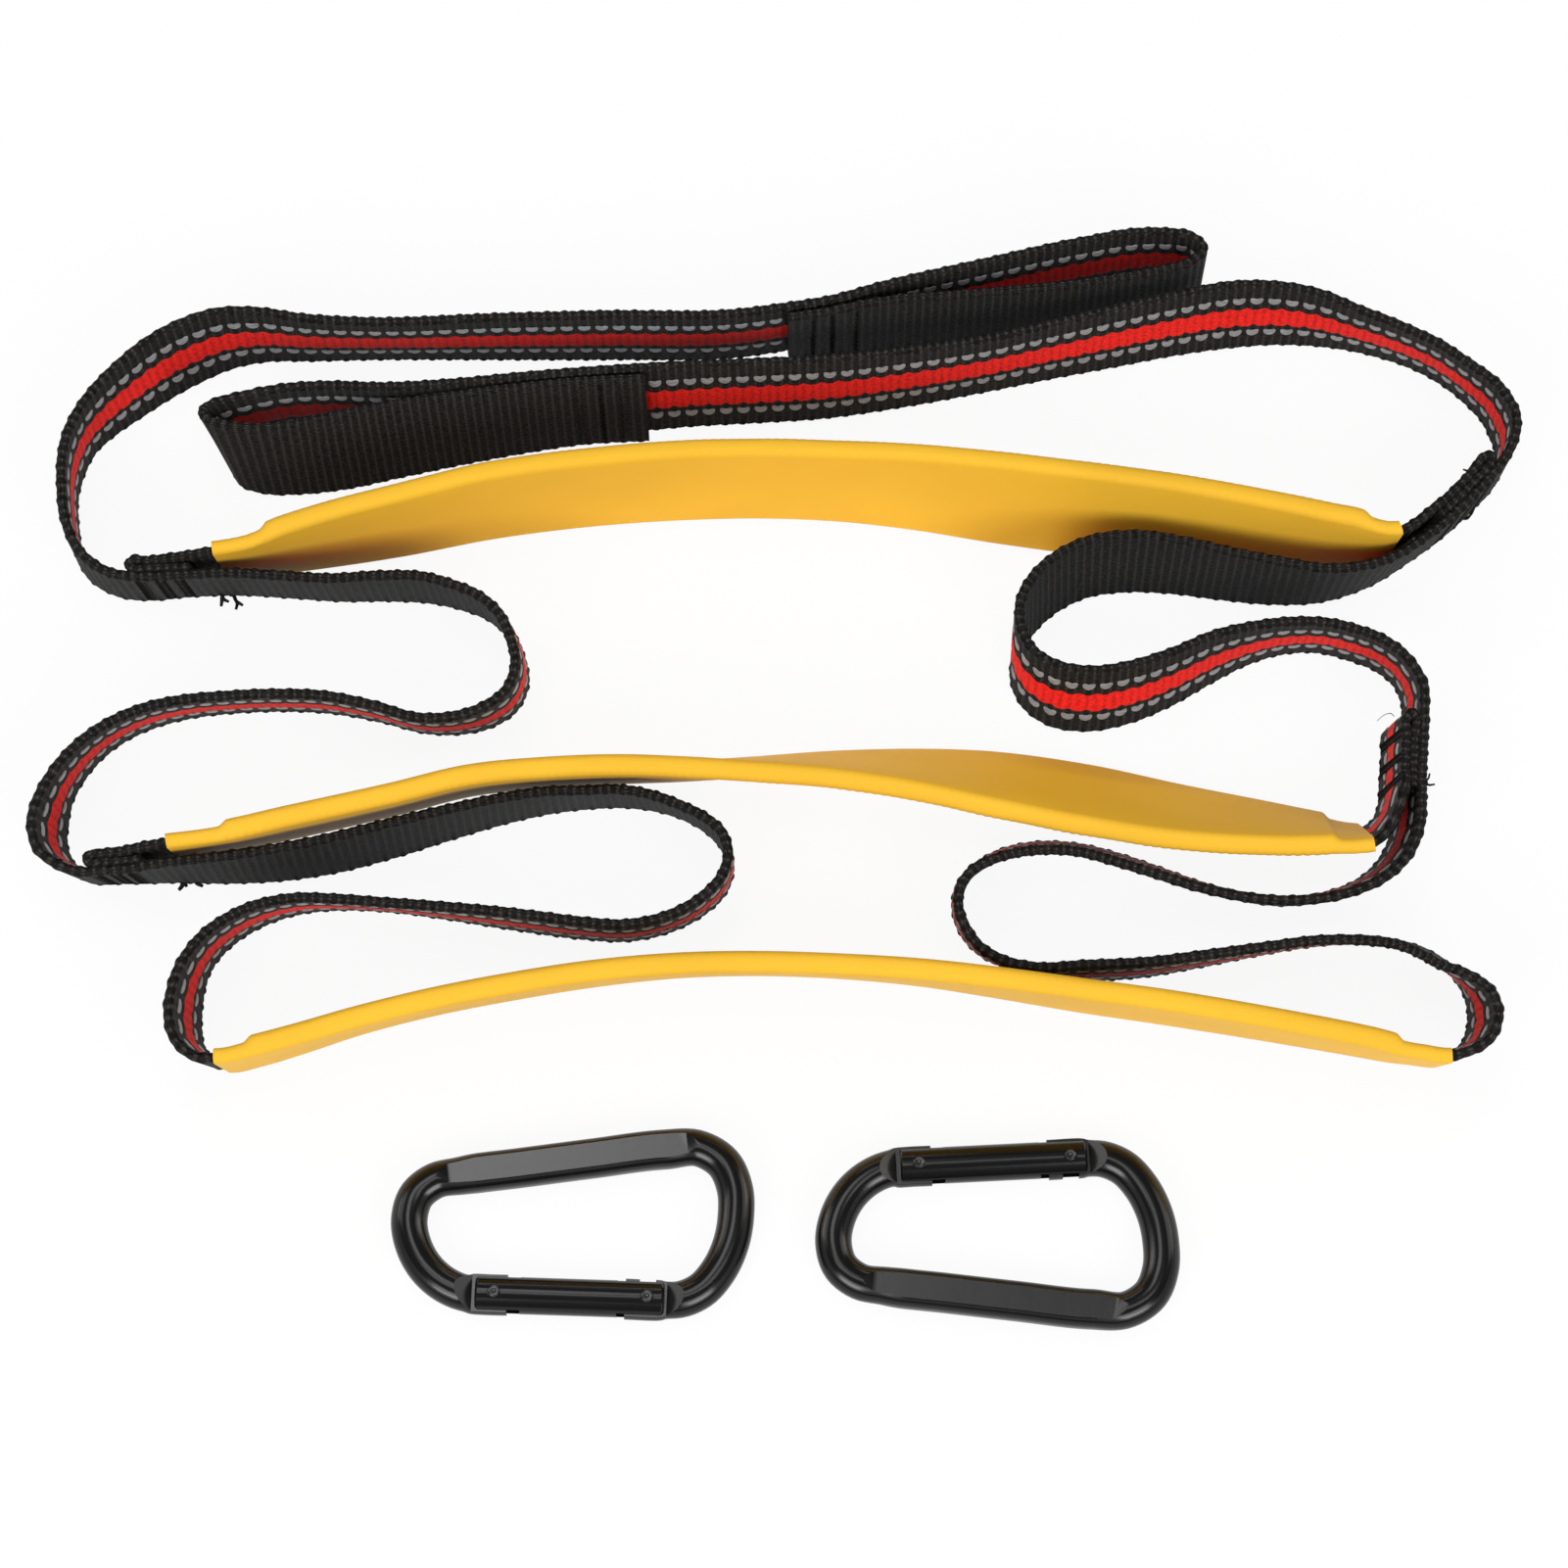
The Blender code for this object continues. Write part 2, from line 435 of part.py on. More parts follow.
def lift_along(curve, sleeve):
    """How high the webbing's lower edge is, as a function of distance: raised inside the sleeve."""
    start, end = [distance_to(curve, point) for point in sleeve[2:]]

    def lift(distance):
        outside = max(start - distance, distance - end, 0.0)
        share = max(1.0 - outside / LIFT_RAMP, 0.0)
        return STEP_LIFT * share * share * (3.0 - 2.0 * share)

    return lift


def make_straps():
    """The continuous webbing in stretches, and the two steps sewn between its sides."""
    points = [point for _, stretch in MAIN_ROUTE for point in stretch]
    main = smooth_curve(points)
    main_lift = lift_along(main, SLEEVES[2])
    last_point = -1
    start = 0.0
    for name, stretch in MAIN_ROUTE:
        last_point += len(stretch)
        end = main[2][last_point]
        strap(name, main, start, end, main_lift)
        start = end + GAP

    curves = []
    for name, tabs, route, sleeve in (("upper_step_strap", UPPER_TABS, UPPER_STEP_ROUTE, SLEEVES[0]),
                                      ("middle_step_strap", MIDDLE_TABS, MIDDLE_STEP_ROUTE, SLEEVES[1])):
        first, last = folded_tab(main, tabs[0], True), folded_tab(main, tabs[1], False)
        curve = smooth_curve(first + list(route) + last)
        folds = curve[2][len(first) // 2], curve[2][-1 - len(last) // 2]
        strap(name, curve, 0.0, curve[1][-1], lift_along(curve, sleeve), folds)
        curves.append(curve)
    curves.append(main)

    for curve, (sleeve_name, insert_name, first, last) in zip(curves, SLEEVES):
        ends = [distance_to(curve, point) for point in (first, last)]
        sleeve_with_insert(sleeve_name, insert_name, curve, *ends)


# Snap links

def box(name, low, high, parent, turn=0.0):
    """A box cutter between two corners, turned about the vertical through its middle."""
    mesh = bmesh.new()
    bmesh.ops.create_cube(mesh, size=1.0)
    size = [b - a for a, b in zip(low, high)]
    bmesh.ops.scale(mesh, vec=size, verts=mesh.verts)
    data = bpy.data.meshes.new(name)
    mesh.to_mesh(data)
    mesh.free()
    made = add_object(name, data, None, CUTTERS)
    made.parent = parent
    made.location = [(a + b) / 2 for a, b in zip(low, high)]
    made.rotation_euler = (0.0, 0.0, turn)
    hide_cutter(made)
    return made


def hide_cutter(cutter):
    """Marks an object as a cutter."""
    cutter.hide_render = True
    cutter.display_type = "WIRE"


def rod(name, start, end, radius, finish, parent, segments=ROD_SEGMENTS, collection=PARTS):
    """A round rod between two points."""
    start, end = Vector(start), Vector(end)
    axis = end - start
    mesh = bmesh.new()
    bmesh.ops.create_cone(mesh, cap_ends=True, segments=segments, radius1=radius, radius2=radius,
                          depth=axis.length)
    data = bpy.data.meshes.new(name)
    turn = axis.to_track_quat("Z", "Y").to_matrix().to_4x4()
    mesh.transform(Matrix.Translation((start + end) / 2) @ turn)
    mesh.to_mesh(data)
    mesh.free()
    data.shade_smooth()
    data.set_sharp_from_angle(angle=SHARP_ANGLE)
    made = add_object(name, data, finish, collection)
    made.parent = parent
    return made


def cut(target, cutter):
    """Takes a cutter's shape out of a solid."""
    boolean = target.modifiers.new(cutter.name, "BOOLEAN")
    boolean.operation = "DIFFERENCE"
    boolean.object = cutter


def hole(name, target, start, end, radius, parent):
    """A round hole through a solid."""
    cutter = rod(name, start, end, radius, None, parent, collection=CUTTERS)
    hide_cutter(cutter)
    cut(target, cutter)


def swept_bar(name, points, radii, resolution, finish):
    """A closed bar along points, made a mesh so that it can be cut."""
    curve = bpy.data.curves.new(name, "CURVE")
    curve.dimensions = "3D"
    curve.bevel_depth = 1.0
    curve.bevel_resolution = resolution
    curve.render_resolution_u = 0
    curve.use_fill_caps = True
    spline = curve.splines.new("POLY")
    spline.points.add(len(points) - 1)
    for target, point, radius in zip(spline.points, points, radii):
        target.co = (*point, 1.0)
        target.radius = radius
    source = bpy.data.objects.new(name + "_curve", curve)
    PARTS.objects.link(source)
    depsgraph = bpy.context.evaluated_depsgraph_get()
    data = bpy.data.meshes.new_from_object(source.evaluated_get(depsgraph))
    bpy.data.objects.remove(source, do_unlink=True)
    mesh = bmesh.new()
    mesh.from_mesh(data)
    bmesh.ops.remove_doubles(mesh, verts=mesh.verts, dist=1e-6)
    mesh.to_mesh(data)
    mesh.free()
    data.name = name
    data.shade_smooth()
    data.set_sharp_from_angle(angle=SHARP_ANGLE)
    return add_object(name, data, finish)


def link_frame(name, parent):
    """The bent bar: pressed flat along its spine, with a flat tongue at each end."""
    curve = smooth_curve(LINK_OUTLINE)
    spine = [distance_to(curve, point) for point in (SPINE_START, SPINE_END)]
    distances = even_distances(0.0, curve[1][-1], BAR_STEP)
    points = [(x, y, 0.0) for x, y in samples_at(curve, distances)]
    wide_start, wide_end = spine[0] + BAR_STEP, spine[1] - BAR_STEP
    radii = [SPINE_RADIUS if wide_start <= distance <= wide_end else BAR_RADIUS for distance in distances]
    frame = swept_bar(name, points, radii, BAR_ROUNDNESS, BLACK_ALUMINIUM)
    frame.parent = parent

    reach = CUTTER_REACH
    slope = math.atan2(SPINE_END[1] - SPINE_START[1], SPINE_END[0] - SPINE_START[0])
    middle = Vector(SPINE_MIDDLE) * MM
    half = Vector((SPINE_FLAT_LENGTH / 2, reach / 2))
    for label, low, high in (("top", SPINE_HALF_THICKNESS, reach),
                             ("bottom", -reach, -SPINE_HALF_THICKNESS)):
        corners = (*(middle - half), low), (*(middle + half), high)
        cut(frame, box(f"{name}_{label}_flat", *corners, parent, slope))
    for label, first, last in (("hinge", HINGE_SHOULDER, HINGE_FORK_DEPTH),
                               ("latch", LATCH_FORK_DEPTH, LATCH_SHOULDER)):
        cut(frame, box(f"{name}_{label}_top", (first, -reach, TONGUE_HALF_THICKNESS),
                       (last, reach, reach), parent))
        cut(frame, box(f"{name}_{label}_bottom", (first, -reach, -reach),
                       (last, reach, -TONGUE_HALF_THICKNESS), parent))
    hole(f"{name}_hinge_hole", frame, (0.0, 0.0, -reach), (0.0, 0.0, reach), PIN_RADIUS + GAP, parent)
    notch = PIN_RADIUS + 2 * GAP
    cut(frame, box(f"{name}_latch_notch", (LATCH_PIN_X - notch, -notch, -reach),
                   (LATCH_PIN_X + notch, reach, reach), parent))


def link_gate(name, parent):
    """The gate: a round bar, forked at both ends and bored for its spring."""
    gate = rod(name, (GATE_START, 0.0, 0.0), (GATE_END, 0.0, 0.0), GATE_RADIUS, BLACK_ALUMINIUM, parent,
               GATE_SEGMENTS)
    reach = CUTTER_REACH
    cut(gate, box(f"{name}_hinge_fork", (-reach, -reach, -FORK_HALF_GAP),
                  (HINGE_FORK_DEPTH, reach, FORK_HALF_GAP), parent))
    cut(gate, box(f"{name}_latch_fork", (LATCH_FORK_DEPTH, -reach, -FORK_HALF_GAP),
                  (GATE_END + reach, reach, FORK_HALF_GAP), parent))
    for label, x in (("hinge", 0.0), ("latch", LATCH_PIN_X)):
        hole(f"{name}_{label}_hole", gate, (x, 0.0, -reach), (x, 0.0, reach), PIN_RADIUS + GAP, parent)
    hole(f"{name}_bore", gate, (PLUNGER_START, 0.0, 0.0), (BORE_END, 0.0, 0.0), BORE_RADIUS, parent)


def link_spring(name, parent):
    """The coil spring in the gate's bore."""
    count = SPRING_TURNS * SPRING_POINTS_PER_TURN
    points = []
    for index in range(count + 1):
        turn = 2.0 * math.pi * index / SPRING_POINTS_PER_TURN
        x = SPRING_START + (SPRING_END - SPRING_START) * index / count
        points.append((x, SPRING_RADIUS * math.cos(turn), SPRING_RADIUS * math.sin(turn)))
    spring = swept_bar(name, points, [SPRING_WIRE_RADIUS] * len(points), WIRE_ROUNDNESS, SPRING_STEEL)
    spring.parent = parent


def make_link(name, hinge, turn, turned_over):
    """One snap link, placed by an empty on its hinge pin's axis."""
    pivot = bpy.data.objects.new(name, None)
    PARTS.objects.link(pivot)
    x, y = [(place + shift) * MM for place, shift in zip(hinge, LAYOUT_SHIFT)]
    pivot.location = (x, y, LINK_HEIGHT)
    pivot.rotation_euler = (math.pi if turned_over else 0.0, 0.0, math.radians(turn))
    link_frame(f"{name}_frame", pivot)
    link_gate(f"{name}_gate", pivot)
    for label, pin_x in (("hinge_pin", 0.0), ("latch_pin", LATCH_PIN_X)):
        rod(f"{name}_{label}", (pin_x, 0.0, -PIN_HALF_LENGTH), (pin_x, 0.0, PIN_HALF_LENGTH), PIN_RADIUS,
            BLACK_STEEL, pivot)
    rod(f"{name}_plunger", (PLUNGER_START, 0.0, 0.0), (PLUNGER_END, 0.0, 0.0), PLUNGER_RADIUS,
        BLACK_STEEL, pivot)
    link_spring(f"{name}_spring", pivot)


make_straps()
for link in LINKS:
    make_link(*link)
bpy.context.view_layer.update()
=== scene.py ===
"""Looks of the three-step webbing ladder and its two snap links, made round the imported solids.

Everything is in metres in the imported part's frame. Routes are written in millimetres, as they are
in the part's source, and become metres when their points are made.
"""
import json
import math

import bmesh
import bpy
import numpy as np
from mathutils import Matrix, Vector

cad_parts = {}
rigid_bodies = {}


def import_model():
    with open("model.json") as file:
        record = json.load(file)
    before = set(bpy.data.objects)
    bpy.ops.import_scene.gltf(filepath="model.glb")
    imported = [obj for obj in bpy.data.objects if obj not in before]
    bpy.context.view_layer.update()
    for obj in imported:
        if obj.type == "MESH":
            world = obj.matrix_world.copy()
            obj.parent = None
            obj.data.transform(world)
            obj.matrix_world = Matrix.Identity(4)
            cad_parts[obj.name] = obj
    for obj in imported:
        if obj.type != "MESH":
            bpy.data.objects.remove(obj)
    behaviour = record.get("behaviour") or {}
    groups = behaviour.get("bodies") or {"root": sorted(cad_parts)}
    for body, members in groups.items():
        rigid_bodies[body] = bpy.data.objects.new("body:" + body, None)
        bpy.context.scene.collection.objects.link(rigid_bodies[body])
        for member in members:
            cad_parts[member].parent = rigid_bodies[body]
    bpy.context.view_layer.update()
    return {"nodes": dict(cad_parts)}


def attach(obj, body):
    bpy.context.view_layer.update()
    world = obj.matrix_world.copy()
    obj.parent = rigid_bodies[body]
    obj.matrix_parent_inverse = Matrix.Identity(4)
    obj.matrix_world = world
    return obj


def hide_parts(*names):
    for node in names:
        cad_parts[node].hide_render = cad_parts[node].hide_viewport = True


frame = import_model()

# Layout, shared with the part's source
MM = 0.001
LAYOUT_SHIFT = np.array((-0.5067, -0.9285)) * MM
WEBBING_WIDTH = 25.0 * MM
WEBBING_THICKNESS = 2.0 * MM
TAB_LAYER = 1.9 * MM                # the stitches press the layers of a tab together
TAB_POINTS = 5
CURVE_STEPS = 24                    # places on a curve from one route point to the next
TANGENT_REACH = 0.5 * MM
STEP_LIFT = 2.6 * MM
LIFT_RAMP = 18.0 * MM

# Weave of the webbing
RIB_PITCH = 2.05 * MM
DASH_PITCH = 2 * RIB_PITCH
FINE_STEP = RIB_PITCH / 4           # spacing of the sections where the webbing shows
HIDDEN_STEP = 5.0 * MM              # spacing of the sections inside a sleeve
HIDDEN_MARGIN = 8.0 * MM            # how far into a sleeve the webbing keeps its detail
CORE_HALF = 0.88 * MM               # half thickness under the ribs
EDGE_INSET = 0.25 * MM              # how far the edge's cords stand in from the full width
STRIPE_HALF = 3.25 * MM
STRIPE_WAVE = 0.4 * MM
DASH_ROW = 6.2 * MM                 # from the middle of the webbing to a row of dashes
DASH_BAND = 1.7 * MM                # from a row of dashes to the end of its ground
DASH_HALF_LENGTH = 1.6 * MM
DASH_HALF_WIDTH = 1.35 * MM
DASH_OUTLINE = ((1.0, 0.55), (0.9, 0.8), (0.45, 0.72), (0.0, 0.5), (-0.45, 0.72), (-0.9, 0.8), (-1.0, 0.55),
                (-0.88, -0.15), (-0.55, -0.7), (-0.15, -0.95), (0.15, -0.95), (0.55, -0.7), (0.88, -0.15))
DASH_PROFILE = ((1.0, -0.5), (1.0, 0.5), (0.82, 1.0), (0.5, 0.75))     # shares of its outline and height
DASH_HEIGHT = 0.22 * MM
FACE_COLUMNS = (1.65 * MM, STRIPE_HALF, 4.6 * MM, DASH_ROW, 7.7 * MM, 9.5 * MM)   # from the middle, both ways
FACE_RIB = 0.2 * MM
STRIPE_RELIEF = (0.4, 1.1)          # the stripe's ground and ribs, in face ribs
DASH_RELIEF = (-0.3, 1.6)           # the ground under the dashes and the yarn between them, in face ribs
BACK_RIB = 0.28 * MM
EDGE_RIB = 0.55 * MM
EDGE_LAG = 0.8                      # slant of the edge's cords, in ribs for half a turn round the edge
EDGE_UNEVEN = 0.22                  # half of how much lower every second cord is, as a share
EDGE_POINTS = 5
NEARLY_SAME = 0.01 * MM
WEAVE_SHIFT = 0.01 * MM             # sets the weave coordinates of neighbouring columns apart
CREASE_ANGLE = math.radians(60.0)

# Patterns and surfaces of the materials
WAVE_PERIOD = 0.314159              # a wave texture's period at scale 1
# the beads are spots of painted highlight along a rib's crest
BEAD_PITCH = 0.55 * MM
BEAD_DRIFT = 300.0                  # how fast the beads move on along the webbing
BEAD_DISTORTION = 1.5
KNUCKLE_SIZE = 0.75 * MM
KNUCKLE_CONTRAST = 0.45
FIBRE_SCALE = (900.0, 2600.0, 1.0)
YARN_SPECULAR = 0.06
YARN_ROUGHNESS = 0.6
YARN_ROUGHNESS_LIMITS = (0.5, 0.72)
YARN_DEPTH = 0.3 * MM
METAL_DEPTH = 0.1 * MM
METAL_TONES = (0.88, 1.14)          # darkest and lightest grain, as shares of the colour
METAL_SPREAD = 0.03                 # how far the grain varies the roughness
NOISE_DETAIL = 3.0
GRAIN_STOPS = (0.3, 0.7)            # where a grain's darker and lighter tones are on its ramp
YELLOW = (0.8, 0.45, 0.034)

# Sewing
THREAD_RADIUS = 0.16 * MM
THREAD_SIDES = 6
THREAD_SKEW = (0.31, 0.52, 0.79)    # a direction that no thread starts along
STITCH_OUT = CORE_HALF + 0.22 * MM  # from the webbing's middle to a stitch
STITCH_ENDS = (2.0 * MM, 23.0 * MM)    # heights where a row of stitches starts and ends
TACK_PITCH = 0.42 * MM
TACK_HALF_WIDTH = 1.0 * MM
TACK_SHARES = (0.12, 0.46, 0.8)     # places of the bar tacks along a tab
SEAM_PITCH = 1.3 * MM
SEAM_HALF_WIDTH = 0.55 * MM
SEAM_PLACES = (5.6 * MM, 10.5 * MM, 15.8 * MM)   # from the end of the webbing

# Sleeves
SLEEVE_WIDTH = 33.0 * MM
SLEEVE_END_WIDTH = 31.4 * MM
SLEEVE_WALL = 0.55 * MM
SLEEVE_SHOULDER = 2.2 * MM
SLEEVE_TAPER = 9.0 * MM
SLEEVE_END_DEPTH = 1.7 * MM         # from the webbing's middle to the outside, at a sleeve's ends
SLEEVE_FRONT_DEPTH = 1.9 * MM
SLEEVE_BACK_DEPTH = 2.95 * MM       # the insert is on this side
SLEEVE_CORNER = 2.1 * MM
SLEEVE_ROUNDEST = 0.49              # largest corner, as a share of a sleeve's depth
SLEEVE_RIPPLE = 0.2 * MM
RIPPLE_WAVES = (310.0, 47.0)        # two waves that make the ripple uneven, in radians per metre
RIPPLE_HEIGHTS = (0.6, 0.4)         # the ripple's mean height and how far it varies, as shares
RIPPLE_BACK = 0.4                   # share of the ripple on the back's upper corner

# Snap links
BAR_RADIUS = 4.1 * MM
SPINE_RADIUS = 4.4 * MM
SPINE_BLEND = 8.0 * MM
SPINE_HALF_THICKNESS = 3.55 * MM
SPINE_FLAT_LENGTH = 53.5 * MM
SPINE_RAMP = 2.3 * MM
SPINE_SQUARENESS = 0.2              # the pressed spine is flatter than round
TONGUE_HALF_THICKNESS = 1.5 * MM
TONGUE_RAMP = 3.8 * MM
TONGUE_LENGTH = 9.2 * MM
TONGUE_BLEND = 1.5 * MM
TONGUE_SPREAD = 0.11                # how much wider than the bar a tongue is
TONGUE_TIP = 2.8 * MM
TONGUE_REACH = 6.0 * MM             # half width of the cutters beside a tongue
RECESS_HALF = 1.9 * MM              # room in the hinge's tongue for the plunger
RECESS_INNER = 3.4 * MM             # its wider inner half, where the plunger swings with the gate
HINGE_RAMP_FOOT = -5.0 * MM
LATCH_RAMP_FOOT = 38.0 * MM
GATE_RADIUS = 4.1 * MM
GATE_START = -4.2 * MM
GATE_END = 37.4 * MM
GATE_CHAMFER = 0.5 * MM
FORK_HALF_GAP = 1.8 * MM
HINGE_FORK_DEPTH = 5.7 * MM
LATCH_FORK_DEPTH = 27.0 * MM
LATCH_PIN_X = 33.7 * MM
PIN_RADIUS = 1.2 * MM
PIN_HALF_LENGTH = 3.9 * MM
PIN_SIDES = 32
RIVET_PROFILE = ((-0.3, 0.02), (-0.1, 0.34), (0.14, 0.5), (0.17, 0.8), (0.02, 1.1), (-0.12, 1.18),
                 (-0.5, 1.0))       # height from the pin's end in mm, and share of its radius
PIN_CLEARANCE = 0.3 * MM
BORE_RADIUS = 1.9 * MM
BORE_END = 20.0 * MM
BORE_SIDES = 24
LINK_HEIGHT = BAR_RADIUS
CUTTER_REACH = 12.0 * MM
BAR_STEP = 1.0 * MM
BAR_SIDES = 48
FLAT_LEVEL = 0.75                   # a milled face looks up or down at least this much
FLAT_HEIGHT = SPINE_HALF_THICKNESS + NEARLY_SAME
FLAT_AREA = 0.3 * MM * MM
MERGE_DISTANCE = 0.001 * MM
EDGE_ROUNDING = 0.12 * MM
SHARP_ANGLE = math.radians(20.0)
ROUNDED_ANGLE = math.radians(40.0)

# Camera, fitted to the photo
CAMERA_DISTANCE = 1.006
CAMERA_ELEVATION = math.radians(70.0)
CAMERA_LENS = 100.0
CAMERA_NEAREST = 0.05

# Floor and lights. A light has a place, a point it faces, a width and height, and a power.
FLOOR_HALF = 4.0
FLOOR_DROP = 0.2 * MM
FLOOR_GREY = 0.86
FLOOR_GLOW = 0.92                   # how far the floor shows pure white where it is seen
WORLD_LIGHT = 0.2
LIGHTS = (
    ("key", (-0.725, -1.12, 1.02), (0.0, 0.0, 0.0), (0.8, 0.8), 12.8),
    ("side_strip", (-1.1, 0.4, 0.7), (0.0, -0.08, 0.0), (0.5, 0.8), 3.0),
    ("key", (0.725, -1.12, 1.02), (0.0, 0.0, 0.0), (0.8, 0.8), 12.8),
    ("side_strip", (1.1, 0.4, 0.7), (0.0, -0.08, 0.0), (0.5, 0.8), 3.0),
    ("back_strip", (0.0, 1.25, 0.9), (0.0, -0.1, 0.0), (1.3, 0.2), 2.6),
    ("top", (-0.25, 0.36, 1.5), (-0.05, -0.09, 0.0), (0.45, 0.45), 3.0),
    ("overhead", (0.0, -0.08, 1.5), (0.0, -0.1, 0.0), (1.2, 0.25), 4.0),
)

